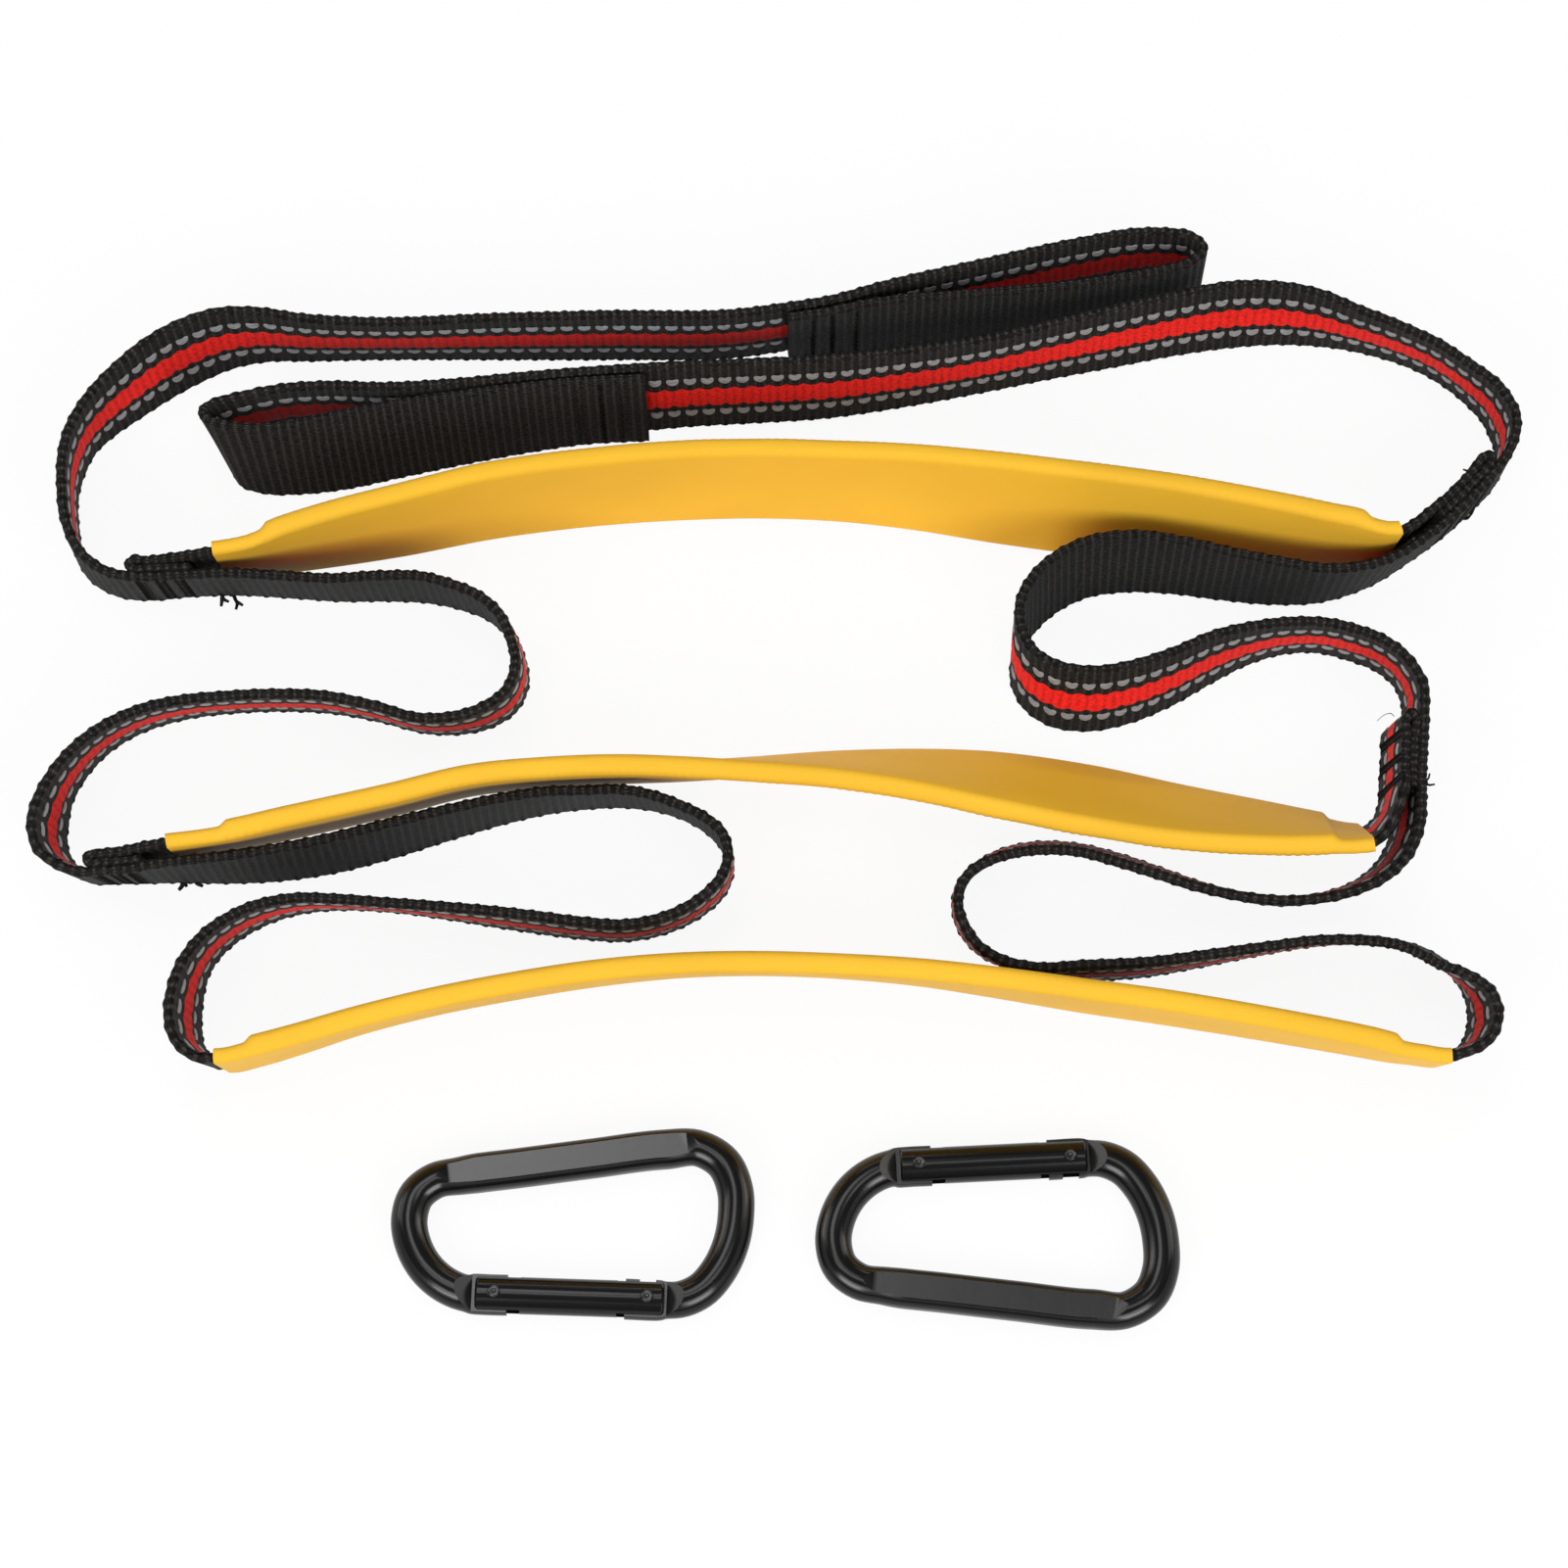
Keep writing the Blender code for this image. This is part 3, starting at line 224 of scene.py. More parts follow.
# Route of the webbing. A point is the x and y of its lower edge on the surface, then
# how far its upper edge leans from straight above in x and in y, all in millimetres.
MAIN_ROUTE = (
    ("right_eye_loop", (
        (1, 109, 0, -1.5), (10, 109.8, 0, -0.8), (20, 110.8, 0, 0.5), (46.5, 112.5, 0, 1.5),
        (70, 115.5, 0, 1), (88, 119.3, 0, 0.5), (96, 121.9, 0, 0.5), (98.9, 125, 0, 0.6),
        (96.2, 128, 0, 0.8), (91, 129, 0, 0.8), (84, 128.4, 0, 1.5), (70, 125.7, 0, 1.7),
        (46.5, 120.2, 0, 1.5), (23, 114.8, 0, 1), (11, 112.8, 0, -0.7), (1, 111.3, 0, -1))),
    ("left_upper_strap", (
        (-10, 109.5, 0, -0.8), (-42, 108.8, 0, -0.6), (-66, 108.8, 0, -1.3), (-99, 108.8, 0, -2.4),
        (-113, 108.4, 0, -1), (-124, 108.1, -0.3, 1.1), (-131.6, 106.3, -1.2, 2.8),
        (-139.3, 102.6, -2.3, 3.6), (-146.3, 98.3, -2.7, 3.3), (-153.3, 93.3, -2.1, 2.2),
        (-159.5, 88.6, -0.9, 0.9), (-164, 84, 0.2, 0), (-166.6, 78, 0.4, 0), (-167.8, 71.5, 0.7, 0),
        (-167.3, 64.5, 0.5, -0.3), (-165.7, 57.1, 0.2, -1), (-161.8, 51, -0.2, -2.6),
        (-155.6, 47.5, -0.2, -4.2), (-147.2, 46.7, 0, -4.9), (-141, 47.4, 0, -5.3))),
    ("left_middle_strap", (
        (-126.5, 47.9, 0, -5.2), (-115, 47.2, 0, -5.2), (-104, 46.4, 0, -5), (-92, 46.4, 0, -4.3),
        (-83, 45.9, -0.3, -4), (-75.4, 44.2, -0.7, -4.3), (-68.7, 41.4, -0.9, -4.5), (-64, 37.1, -1, -4.6),
        (-61.3, 31, -1.1, -4.5), (-60.3, 24.6, -0.9, -4.4), (-62.7, 18.5, -0.5, -4.6),
        (-68.1, 14.7, -0.4, -5), (-75, 13.1, -0.3, -5.6), (-82, 13.2, -0.4, -6), (-93, 16, -0.5, -5.7),
        (-104.5, 18.2, -0.3, -5.6), (-116, 18.8, 0, -5.8), (-127, 18.4, 0.3, -5.9),
        (-137.5, 17.1, 0.8, -5.6), (-145.5, 14.9, 1.5, -5), (-152.5, 11.5, 2.1, -4.2), (-158, 7, 2.2, -3),
        (-162.3, 1.2, 1.4, -1.8), (-164.8, -4.5, 0, -1.3), (-165.4, -10, -2.3, -1.4),
        (-165.3, -15.2, -3.8, -2.6), (-163.5, -19.7, -3.8, -4.5), (-159.3, -22.9, -1.7, -5.8),
        (-150, -23.4, -0.1, -5.8))),
    ("left_lower_strap", (
        (-139, -23.2, 0, -4.3), (-126, -23.4, 0.1, -2.6), (-114.5, -22.8, 0.2, -1.4),
        (-103, -21, 0.3, -0.8), (-89.5, -17.3, 0.4, -0.9), (-76, -12.7, 0.6, -2.1),
        (-62.5, -8.5, 0.6, -3.3), (-54, -6.5, 0.4, -4.1), (-45, -5.3, 0.1, -5), (-36.5, -5, -0.3, -5.1),
        (-28, -6.2, -1.1, -5.4), (-21.2, -8.8, -1.6, -5.3), (-16.2, -12.4, -1.5, -4.4),
        (-13.2, -16.4, -0.8, -3.8), (-12.5, -21.6, 0, -3.6), (-14.3, -26.7, 0.4, -3.8),
        (-18.8, -31.2, 0.7, -4.2), (-25.7, -35, 0.7, -4.6), (-35.4, -37.3, 0.3, -4.7),
        (-45, -36.9, -0.2, -4.5), (-54.5, -35.7, -0.4, -4.4), (-63.5, -34.3, -0.5, -4.7),
        (-76.5, -32.1, -0.5, -5.7), (-89.5, -30.3, -0.4, -6.5), (-100.5, -29.8, 0, -6.2),
        (-109, -30.5, 0.4, -5.3), (-114.5, -31.9, 0.8, -4.6), (-120, -34.3, 1.2, -3.6),
        (-126, -38.5, 1.4, -2.4), (-129.4, -42.3, 1, -1.4), (-131.5, -46.4, 0, -0.8),
        (-132.3, -50.5, -1.7, -0.8), (-132.6, -55.2, -3.1, -1.6), (-132.3, -60, -3.8, -2.9),
        (-131.1, -64.6, -3, -4.7), (-128.4, -67.6, -1.1, -5.7))),
    ("lower_step_strap", (
        (-124, -68.3, 0.4, -5.2), (-118, -66.8, 1, -5.2), (-109.5, -64.1, 1.5, -5.4),
        (-96, -59.4, 1.6, -5.9), (-79, -54.8, 1.5, -6.1), (-61, -51.1, 1.2, -6.2), (-44, -48.2, 0.8, -6.4),
        (-22, -45.8, 0.3, -6.8), (-4.5, -45.4, 0, -6.9), (13, -46.1, -0.3, -6.8), (30.5, -47.8, -0.6, -6.3),
        (48, -50.6, -0.8, -5.6), (66.5, -53.9, -0.8, -5), (87, -57.1, -0.8, -4.8), (109, -60.8, -0.9, -5),
        (129, -64.4, -1, -5.4), (140, -66.4, -0.8, -6), (148.5, -66.8, 0.2, -6))),
    ("right_lower_strap", (
        (152.8, -64.2, 2.5, -5), (154.9, -60, 3, -3.2), (155.6, -55.3, 1, -2.2), (155, -51, -1.9, -3.6),
        (153.3, -47.4, -4, -5.2), (150.4, -44.1, -4.7, -7.3), (145.8, -41, -3.6, -8.3),
        (139, -38.8, -1.7, -8.2), (129.4, -37.8, 0, -8), (118.5, -38.8, 0.7, -6.9),
        (107.4, -40.8, 0.9, -6.3), (94, -43.6, 0.8, -5.4), (80.5, -46, 0.4, -4.8), (67, -46.6, -0.1, -4.9),
        (56, -45.2, -0.8, -6.7), (49.5, -43.3, -1.4, -6.8), (45, -40.8, -1.9, -6),
        (41.7, -37.3, -1.8, -4.4), (39.8, -33.2, -1, -3.8), (39.3, -28.8, 0.4, -3.8),
        (40.4, -24.6, 1.8, -4.6), (43.6, -20.8, 2.5, -6.2), (48.5, -17.6, 2.3, -7.8),
        (56.4, -15.4, 0.8, -9), (67, -15.6, -1, -9.2), (76.5, -18, -2.2, -9.1), (85.7, -21.3, -2.6, -8.7),
        (94.6, -24.7, -2.3, -8.4), (103.2, -27.2, -1.4, -8.1), (114.5, -28.7, 0, -7.6),
        (124.2, -27.3, 1.7, -7.3), (131.6, -24.2, 3.5, -6.2), (136.3, -20, 4.2, -4.7),
        (139, -15.5, 4, -2.8), (140.6, -10.2, 3, -2.4), (141.6, -4, 2.2, -3.4), (142.6, 5, 1.9, -4.4))),
    ("right_middle_strap", (
        (143.6, 13, 1.6, -4.2), (144.4, 18.8, 0.7, -3), (142.9, 24.1, -1.3, -2.1),
        (138.6, 28.4, -1.8, -2.3), (132.1, 31.3, -1.1, -2.7), (124, 33.4, -0.2, -3), (115, 32.7, 0.2, -2.1),
        (107, 29.9, 0, -0.3), (99, 25.4, -0.5, 2.3), (89, 19.4, -0.7, 4), (79.3, 15.2, -0.5, 5.2),
        (69.5, 13.4, 0.2, 5.8), (61.3, 14.9, 0.8, 5.7), (56, 19.2, 0.8, 4.9), (53.7, 25, 0.4, 4.8),
        (54.2, 31.2, -0.2, 4.6), (57.4, 37.2, -0.8, 4.3), (63, 42.8, -1.1, 4.1), (70.5, 46.8, -0.9, 4.2),
        (79.6, 48.3, -0.2, 4.3), (91, 48, 0.2, 3), (102, 46.6, 0.2, 1.6), (113.7, 45.5, 0, 0.2),
        (125, 46, 0.4, -2.2), (137, 50.1, 1.5, -4), (146.5, 56.3, 2.1, -3.8), (154.5, 62.4, 2.1, -2.9),
        (161.9, 69.4, 1.8, -2), (166.1, 73.8, 1.4, -1.3))),
    ("right_upper_strap", (
        (168.9, 78.4, 0.8, -0.6), (169.7, 83.2, 0.3, -0.3), (168.6, 87.6, -0.3, -0.5),
        (166.8, 92.1, -1.1, -1.3), (164, 95.8, -1.8, -2), (160.4, 99.6, -2.2, -2.7), (155.3, 103.6, -2, -3),
        (149.3, 106.9, -1.7, -3.2), (142.5, 109.4, -1.1, -2.7), (135, 111.3, -0.5, -1.6),
        (127, 112.3, 0.1, 1.1), (117.3, 112.5, 0.1, 3.4), (106, 111.5, -0.4, 4.8), (94, 109.7, -0.6, 4.1),
        (78.5, 106.5, -0.6, 3.5), (63, 103.4, -0.4, 2.5), (46.4, 99.8, -0.3, 2), (28.2, 96.1, -0.3, 2.9),
        (9.6, 93.1, -0.3, 3.9), (-6.7, 91.9, -0.3, 4.3), (-23, 90.9, -0.4, 4.6), (-32, 90, -0.4, 5))),
    ("left_eye_loop", (
        (-47, 89.1, -0.2, 4.8), (-61, 89.3, -0.1, 3.2), (-77, 89.5, -0.1, 1.2), (-93.5, 89.8, 0, -0.1),
        (-107, 90.6, 0, -0.6), (-116.5, 90.2, -0.8, -1), (-123, 88.5, -3, -1), (-127.8, 84.8, -5.2, 0.9),
        (-129.6, 80, -5.8, 3.6), (-128, 75.6, -4.8, 5.8), (-122.5, 73.4, -2.6, 6.6),
        (-115, 73.2, -1.2, 7.2), (-104.5, 74.3, -1.5, 8.6), (-91, 77.4, -1.6, 8.4), (-76, 80.9, -1.2, 7.1),
        (-61, 84, -0.8, 6), (-47, 86.3, -0.5, 5.1), (-32, 87.2, -0.4, 5))),
)
UPPER_STEP_ROUTE = (
    (-130.5, 52.4, 0, -5.4), (-123, 53.1, 0, -4.8), (-113, 54.3, 0, -2.5), (-102, 56, 0, -0.8),
    (-90, 58.1, 0, 0.3), (-68, 62.7, 0, 1.4), (-45.5, 65.8, 0, 1.7), (-23, 67.5, 0, 2), (-4.5, 67.9, 0, 2),
    (13, 67.1, 0, 2.3), (31, 64.9, 0.2, 3.5), (49, 61.7, 0.4, 4.8), (67, 59, 0.4, 5.2),
    (90, 56.3, 0.3, 4.6), (113, 54.6, 0, 2), (129, 54, 0, -0.6), (140.5, 55.8, 0.8, -3.8))
MIDDLE_STEP_ROUTE = (
    (-137.8, -18.3, 0.2, -5.4), (-128.5, -16, 1.1, -6.2), (-111.5, -12.2, 1.5, -6),
    (-89.5, -6.8, 1.5, -6.2), (-71.5, -2, 1.1, -6.5), (-54, 0, 0.5, -6.7), (-36, 1, 0.1, -7),
    (-23, 1.5, 0.1, -7.8), (-9, 2.4, -0.1, -9.2), (14, 4, -0.6, -11.9), (32, 4.3, -1.2, -14.2),
    (46.5, 3.7, -2.1, -15.9), (69.5, 0.4, -2.9, -16.8), (92, -4.7, -2.4, -15.9), (113, -9, -1.5, -13.8),
    (124, -11.3, -0.9, -12), (129.5, -12.4, -0.6, -11.2), (133, -12.4, -0.1, -10.4),
    (135.6, -10.4, 0.9, -8.2))

# First and last point of each step's sewn tabs along the main webbing, mm
UPPER_TABS = (((-149.4, 46.9), (-136, 47.5)), ((150.7, 59.2), (163.4, 71.2)))
MIDDLE_TABS = (((-154.4, -23.3), (-144, -23.3)), ((141.5, -6.5), (143.2, 11.2)))

# Ends of each sleeve along its strap in mm, and the length at each end with no insert in it
UPPER_SLEEVE = ((-130.5, 52.4), (140, 55.7), 11.0 * MM, 6.0 * MM)
MIDDLE_SLEEVE = ((-137.8, -18.3), (132, -12.8), 11.0 * MM, 7.0 * MM)
LOWER_SLEEVE = ((-125, -68.3), (146.5, -66.9), 6.0 * MM, 10.0 * MM)

# Loose thread ends: start and end radius, then points in x, y and height, all in mm
LOOSE_THREADS = (
    ("upper_left_thread_1", (
        (0.6, 0.35, ((-131.5, 48, 1.2), (-131.7, 46.2, 0.8), (-131.8, 45.2, 0.5), (-131.9, 44.2, 0.4))),
        (0.5, 0.3, ((-131.7, 46.2, 0.8), (-131, 45.6, 0.6), (-130.1, 45.3, 0.5))))),
    ("upper_left_thread_2", (
        (0.6, 0.35, ((-129.2, 48, 1.2), (-128.8, 46.2, 0.8), (-128.1, 44.8, 0.5), (-128.4, 43.4, 0.4))),
        (0.5, 0.3, ((-128.3, 45.2, 0.6), (-127.5, 44.8, 0.5), (-126.8, 44.4, 0.4))))),
    ("middle_left_thread_1", (
        (0.75, 0.4, ((-137.2, -22.6, 1.2), (-137.5, -24.3, 0.8), (-137.8, -25.1, 0.5), (-138.5, -26, 0.4))),
        (0.6, 0.35, ((-137.4, -24, 0.8), (-136.9, -24.8, 0.6), (-136.7, -25.2, 0.4))))),
    ("middle_left_thread_2", (
        (0.6, 0.4, ((-135.4, -22.6, 1.2), (-134.8, -24, 0.8), (-134.2, -24.6, 0.5), (-133, -25, 0.4))),)),
    ("middle_right_thread", (
        (0.35, 0.2, ((143.2, -8.4, 23.6), (144.3, -8.3, 24), (145.1, -7.5, 24.5), (145.4, -6.4, 24.5))),
        (0.35, 0.2, ((143.2, -8.4, 23.6), (144.4, -8.8, 24), (145.4, -9, 24), (146.5, -8.8, 24))),
        (0.25, 0.15, ((144.2, -8.6, 24), (144.6, -9.2, 23.7), (144.5, -9.8, 23.5))))),
    ("upper_right_thread_loop", (
        (0.35, 0.35, ((158.2, 66.8, 3), (159.5, 65.6, 2.6), (161.1, 65.8, 2), (162.2, 67.2, 2.2),
                      (162.8, 68.6, 3), (163, 70.2, 4.5))),)),
    ("upper_right_thread_spike", (
        (0.4, 0.2, ((160.4, 69.8, 22), (159.2, 69.5, 22), (158.2, 69.2, 22), (157.3, 69.6, 22))),)),
    ("middle_right_hair", (
        (0.1, 0.06, ((139.6, 11.4, 14), (138.6, 11.2, 16.5), (137.3, 10.8, 17), (136.5, 10.8, 15),
                     (136, 11, 12))),)),
)

# Centre line of a snap link's bar seen from above, mm
LINK_OUTLINE = (
    (2.8, 0), (-2.5, 0), (-7, 0.3), (-11.2, 2), (-15.2, 5.2), (-18.6, 10.6), (-19.9, 16.6), (-18.6, 22),
    (-14.8, 25.4), (-9, 26.8), (4, 29), (20, 31.7), (36, 34.3), (43.8, 34.8), (49.3, 31.6), (52, 26),
    (52.5, 19.5), (51.5, 12.8), (49, 6.9), (45.4, 2.5), (41.2, 0.4), (37, 0), (28.8, 0))
SPINE_START = (-9.0, 26.8)
SPINE_END = (40.5, 34.7)
SPINE_MIDDLE = (14.7, 30.8)
# Each link's name, the place of its hinge in mm, its turn in degrees and whether it is turned over
LINKS = (
    ("link_1", (-63.8, -121.4), -1.9, False),
    ("link_2", (30, -92.2), 2.9, True),
)


# Materials

class Shader:
    """A Principled material and short ways to add nodes to it."""

    def __init__(self, name, colour, roughness, sockets=None):
        self.material = bpy.data.materials.new(name)
        self.material.use_nodes = True
        self.tree = self.material.node_tree
        self.principled = self.tree.nodes["Principled BSDF"]
        wanted = {"Base Color": (*colour, 1.0), "Roughness": roughness, **(sockets or {})}
        for socket, value in wanted.items():
            self.principled.inputs[socket].default_value = value

    def node(self, kind, inputs=None, **settings):
        """A node with some of its inputs and properties set."""
        made = self.tree.nodes.new(f"ShaderNode{kind}")
        for socket, value in (inputs or {}).items():
            made.inputs[socket].default_value = value
        for key, value in settings.items():
            setattr(made, key, value)
        return made

    def link(self, source, output, target, socket):
        """Joins an output to an input."""
        self.tree.links.new(source.outputs[output], target.inputs[socket])

    def texture(self, kind, coordinates, scale, inputs=None, **settings):
        """A texture on scaled coordinates: the object's own, or along and across the webbing."""
        if coordinates == "weave":
            source, output = self.node("UVMap", uv_map="weave"), "UV"
        else:
            source, output = self.node("TexCoord"), coordinates
        mapping = self.node("Mapping", {"Scale": scale})
        self.link(source, output, mapping, "Vector")
        made = self.node(f"Tex{kind}", {"Scale": 1.0, **(inputs or {})}, **settings)
        self.link(mapping, "Vector", made, "Vector")
        return made

    def noise(self, coordinates, scale):
        """A noise texture on scaled coordinates."""
        return self.texture("Noise", coordinates, scale, {"Detail": NOISE_DETAIL})

    def maths(self, operation, *values):
        """A maths node on numbers and on pairs of a node and its output."""
        made = self.node("Math", operation=operation)
        for index, value in enumerate(values):
            if isinstance(value, tuple):
                self.link(*value, made, index)
            else:
                made.inputs[index].default_value = value
        return made

    def colour_from(self, source, output, stops):
        """Takes the base colour from a ramp along a texture's output."""
        ramp = self.node("ValToRGB")
        elements = ramp.color_ramp.elements
        while len(elements) < len(stops):
            elements.new(0.5)
        for element, (position, colour) in zip(elements, stops):
            element.position = position
            element.color = (*colour, 1.0)
        self.link(source, output, ramp, "Fac")
        self.link(ramp, "Color", self.principled, "Base Color")

    def roughness_from(self, source, output, low, high):
        """Lets a texture vary the roughness between two values."""
        made = self.node("MapRange", {"To Min": low, "To Max": high})
        self.link(source, output, made, "Value")
        self.link(made, "Result", self.principled, "Roughness")

    def bump(self, source, output, strength, distance, before=None):
        """A bump from a texture, on top of an earlier bump if there is one."""
        made = self.node("Bump", {"Strength": strength, "Distance": distance})
        self.link(source, output, made, "Height")
        if before:
            self.link(before, "Normal", made, "Normal")
        self.link(made, "Normal", self.principled, "Normal")
        return made


def shade(colour, factor):
    """A colour made lighter or darker."""
    return tuple(min(channel * factor, 1.0) for channel in colour)


def yarn_material(name, colour, tones, sharpness, crest_highlight, yarn_bump):
    """Woven yarn: rows of small beads of painted highlight along the ribs' crests, on an uneven ground of
    fine knuckles.
    """
    made = Shader(name, colour, YARN_ROUGHNESS, {"Specular IOR Level": YARN_SPECULAR})
    ribs = made.texture("Wave", "weave", (WAVE_PERIOD / RIB_PITCH, 0.0, 0.0), bands_direction="X")
    beads = made.texture("Wave", "weave", (BEAD_DRIFT, WAVE_PERIOD / BEAD_PITCH, 0.0),
                         {"Distortion": BEAD_DISTORTION}, bands_direction="Y")
    knuckles = made.texture("Voronoi", "Object", (1.0 / KNUCKLE_SIZE,) * 3)
    fibres = made.noise("weave", FIBRE_SCALE)
    crests = made.maths("POWER", (ribs, "Fac"), sharpness)
    highlit_crest_spots = made.maths("MULTIPLY", (crests, "Value"), (beads, "Fac"))
    ground = made.maths("MULTIPLY_ADD", (knuckles, "Distance"), -KNUCKLE_CONTRAST, (fibres, "Fac"))
    # painted highlight: the beads on the ribs' crests raise the ramp's value, so the crests are coloured
    # lighter as if lit
    woven = made.maths("MULTIPLY_ADD", (highlit_crest_spots, "Value"), crest_highlight, (ground, "Value"))
    made.colour_from(woven, "Value", [(stop, shade(colour, tone)) for stop, tone in tones])
    made.roughness_from(fibres, "Fac", *YARN_ROUGHNESS_LIMITS)
    first = made.bump(woven, "Value", yarn_bump, YARN_DEPTH)
    made.bump(fibres, "Fac", 0.5 * yarn_bump, YARN_DEPTH, first)
    return made.material


def grained_material(name, colour, tones, roughness, limits, scale, bump, coordinates="Object", clouds=None,
                     sockets=None):
    """A material whose fine noise varies its colour, roughness and surface; clouds may vary its colour."""
    made = Shader(name, colour, roughness, sockets)
    grain = made.noise(coordinates, scale)
    mottle = made.noise(coordinates, clouds) if clouds else grain
    made.colour_from(mottle, "Fac", list(zip(GRAIN_STOPS, tones)))
    if limits:
        made.roughness_from(grain, "Fac", *limits)
    made.bump(grain, "Fac", *bump)
    return made.material


def metal_material(name, colour, roughness, grain_bump=0.004, scale=(3500.0,) * 3, sockets=None):
    """Coated or bare metal with a fine grain."""
    tones = [shade(colour, tone) for tone in METAL_TONES]
    limits = (roughness - METAL_SPREAD, roughness + METAL_SPREAD)
    return grained_material(name, colour, tones, roughness, limits, scale, (grain_bump, METAL_DEPTH),
                            sockets=sockets)


# the top tone, 4.2 times the near-black yarn, is the painted highlight on the ribs' crests
BLACK_YARN = yarn_material("black_webbing", (0.0115, 0.0107, 0.0101),
                           ((0.1, 0.4), (0.38, 1.2), (0.95, 4.2)), 3.5, 1.0, 0.7)
# the red's top tone, on the ribs' crests, is painted highlight
RED_YARN = yarn_material("red_stripe", (0.82, 0.02, 0.015),
                         ((0.22, 0.6), (0.46, 0.98), (0.85, 1.12)), 0.8, 0.55, 0.3)
GREY_DASH = grained_material("grey_dashes", (0.3, 0.3, 0.31), ((0.12, 0.121, 0.127), (0.3, 0.303, 0.315)),
                             0.4, (0.3, 0.5), (500.0, 2400.0, 1.0), (0.4, 0.0003), "weave")
YELLOW_SLEEVE = grained_material("yellow_sleeve", YELLOW, (shade(YELLOW, 0.93), shade(YELLOW, 1.04)), 0.5,
                                 (0.46, 0.56), (1400.0,) * 3, (0.06, 0.0002), clouds=(18.0, 18.0, 30.0),
                                 sockets={"Specular IOR Level": 0.06})
INSERT_PLASTIC = grained_material("insert_plastic", (0.25,) * 3, ((0.2,) * 3, (0.29,) * 3), 0.6, None,
                                  (300.0,) * 3, (0.1, 0.0002))
BLACK_ALUMINIUM = metal_material("satin_black", (0.004, 0.0039, 0.0038), 0.19,
                                 sockets={"Specular IOR Level": 0.27})
MILLED_BLACK = metal_material("milled_black", (0.011, 0.0107, 0.0105), 0.22, 0.012, (2600.0, 200.0, 200.0))
BLACK_STEEL = metal_material("black_steel", (0.012,) * 3, 0.25)
SPRING_STEEL = metal_material("spring_steel", (0.5,) * 3, 0.3, sockets={"Metallic": 1.0})


# Meshes

def add_piece(name, vertices, faces, materials, face_materials=None, uvs=None):
    """A smooth piece from points, faces, the faces' material numbers and the points' weave coordinates."""
    data = bpy.data.meshes.new(name)
    data.from_pydata([tuple(point) for point in vertices], [], [tuple(face) for face in faces])
    for finish in materials:
        data.materials.append(finish)
    if face_materials is not None:
        data.polygons.foreach_set("material_index", np.asarray(face_materials, dtype=np.int32))
    if uvs is not None:
        layer = data.uv_layers.new(name="weave")
        corners = np.zeros(len(data.loops), dtype=np.int32)
        data.loops.foreach_get("vertex_index", corners)
        layer.data.foreach_set("uv", np.asarray(uvs, dtype=np.float32)[corners].ravel())
    data.update()
    data.shade_smooth()
    data.set_sharp_from_angle(angle=CREASE_ANGLE)
    made = bpy.data.objects.new(name, data)
    bpy.context.scene.collection.objects.link(made)
    return made


class Builder:
    """Collects several shapes that make one mesh."""

    def __init__(self):
        self.vertices = []
        self.faces = []
        self.numbers = []
        self.uvs = []

    def add(self, vertices, faces, number, uvs):
        """Adds one shape; the material number is one value, or one for each face."""
        first = len(self.vertices)
        self.vertices.extend(vertices)
        self.faces.extend([[first + corner for corner in face] for face in faces])
        self.numbers.extend(number if hasattr(number, "__len__") else [number] * len(faces))
        self.uvs.extend(uvs)

    def piece(self, name, materials):
        """The finished mesh piece."""
        return add_piece(name, self.vertices, self.faces, materials, self.numbers, self.uvs)


def grid_faces(rows, columns):
    """Faces of a closed tube of rings, row after row, without its ends."""
    faces = []
    for row in range(rows - 1):
        for column in range(columns):
            after = (column + 1) % columns
            faces.append((row * columns + column, row * columns + after,
                          (row + 1) * columns + after, (row + 1) * columns + column))
    return faces


def tube_faces(rows, columns):
    """Faces of a closed tube of rings, with its two ends."""
    last = (rows - 1) * columns
    return grid_faces(rows, columns) + [range(columns - 1, -1, -1), range(last, last + columns)]


def turns_round(sides):
    """Evenly spaced angles round a circle."""
    return 2.0 * math.pi * np.arange(sides) / sides


def unit_rows(rows):
    """Vectors brought to length 1, one in each row."""
    return rows / np.linalg.norm(rows, axis=1)[:, None]


def eased(share):
    """A share held between 0 and 1 that starts and ends softly."""
    share = np.clip(share, 0.0, 1.0)
    return share * share * (3.0 - 2.0 * share)


def tube(points, radii):
    """Points and faces of a thin closed tube along a path."""
    path = np.asarray(points, dtype=float)
    tangents = unit_rows(np.gradient(path, axis=0))
    normal = np.cross(tangents[0], THREAD_SKEW)
    vertices = []
    for point, tangent, radius in zip(path, tangents, radii):
        normal = normal - tangent * np.dot(normal, tangent)
        normal /= np.linalg.norm(normal)
        across = np.cross(tangent, normal)
        for turn in turns_round(THREAD_SIDES):
            vertices.append(point + radius * (math.cos(turn) * normal + math.sin(turn) * across))
    return vertices, tube_faces(len(path), THREAD_SIDES)


# Routes

def travelled(points):
    """Distance of each point along the line through all of them, seen from above."""
    return np.concatenate(([0.0], np.cumsum(np.linalg.norm(np.diff(points[:, :2], axis=0), axis=1))))


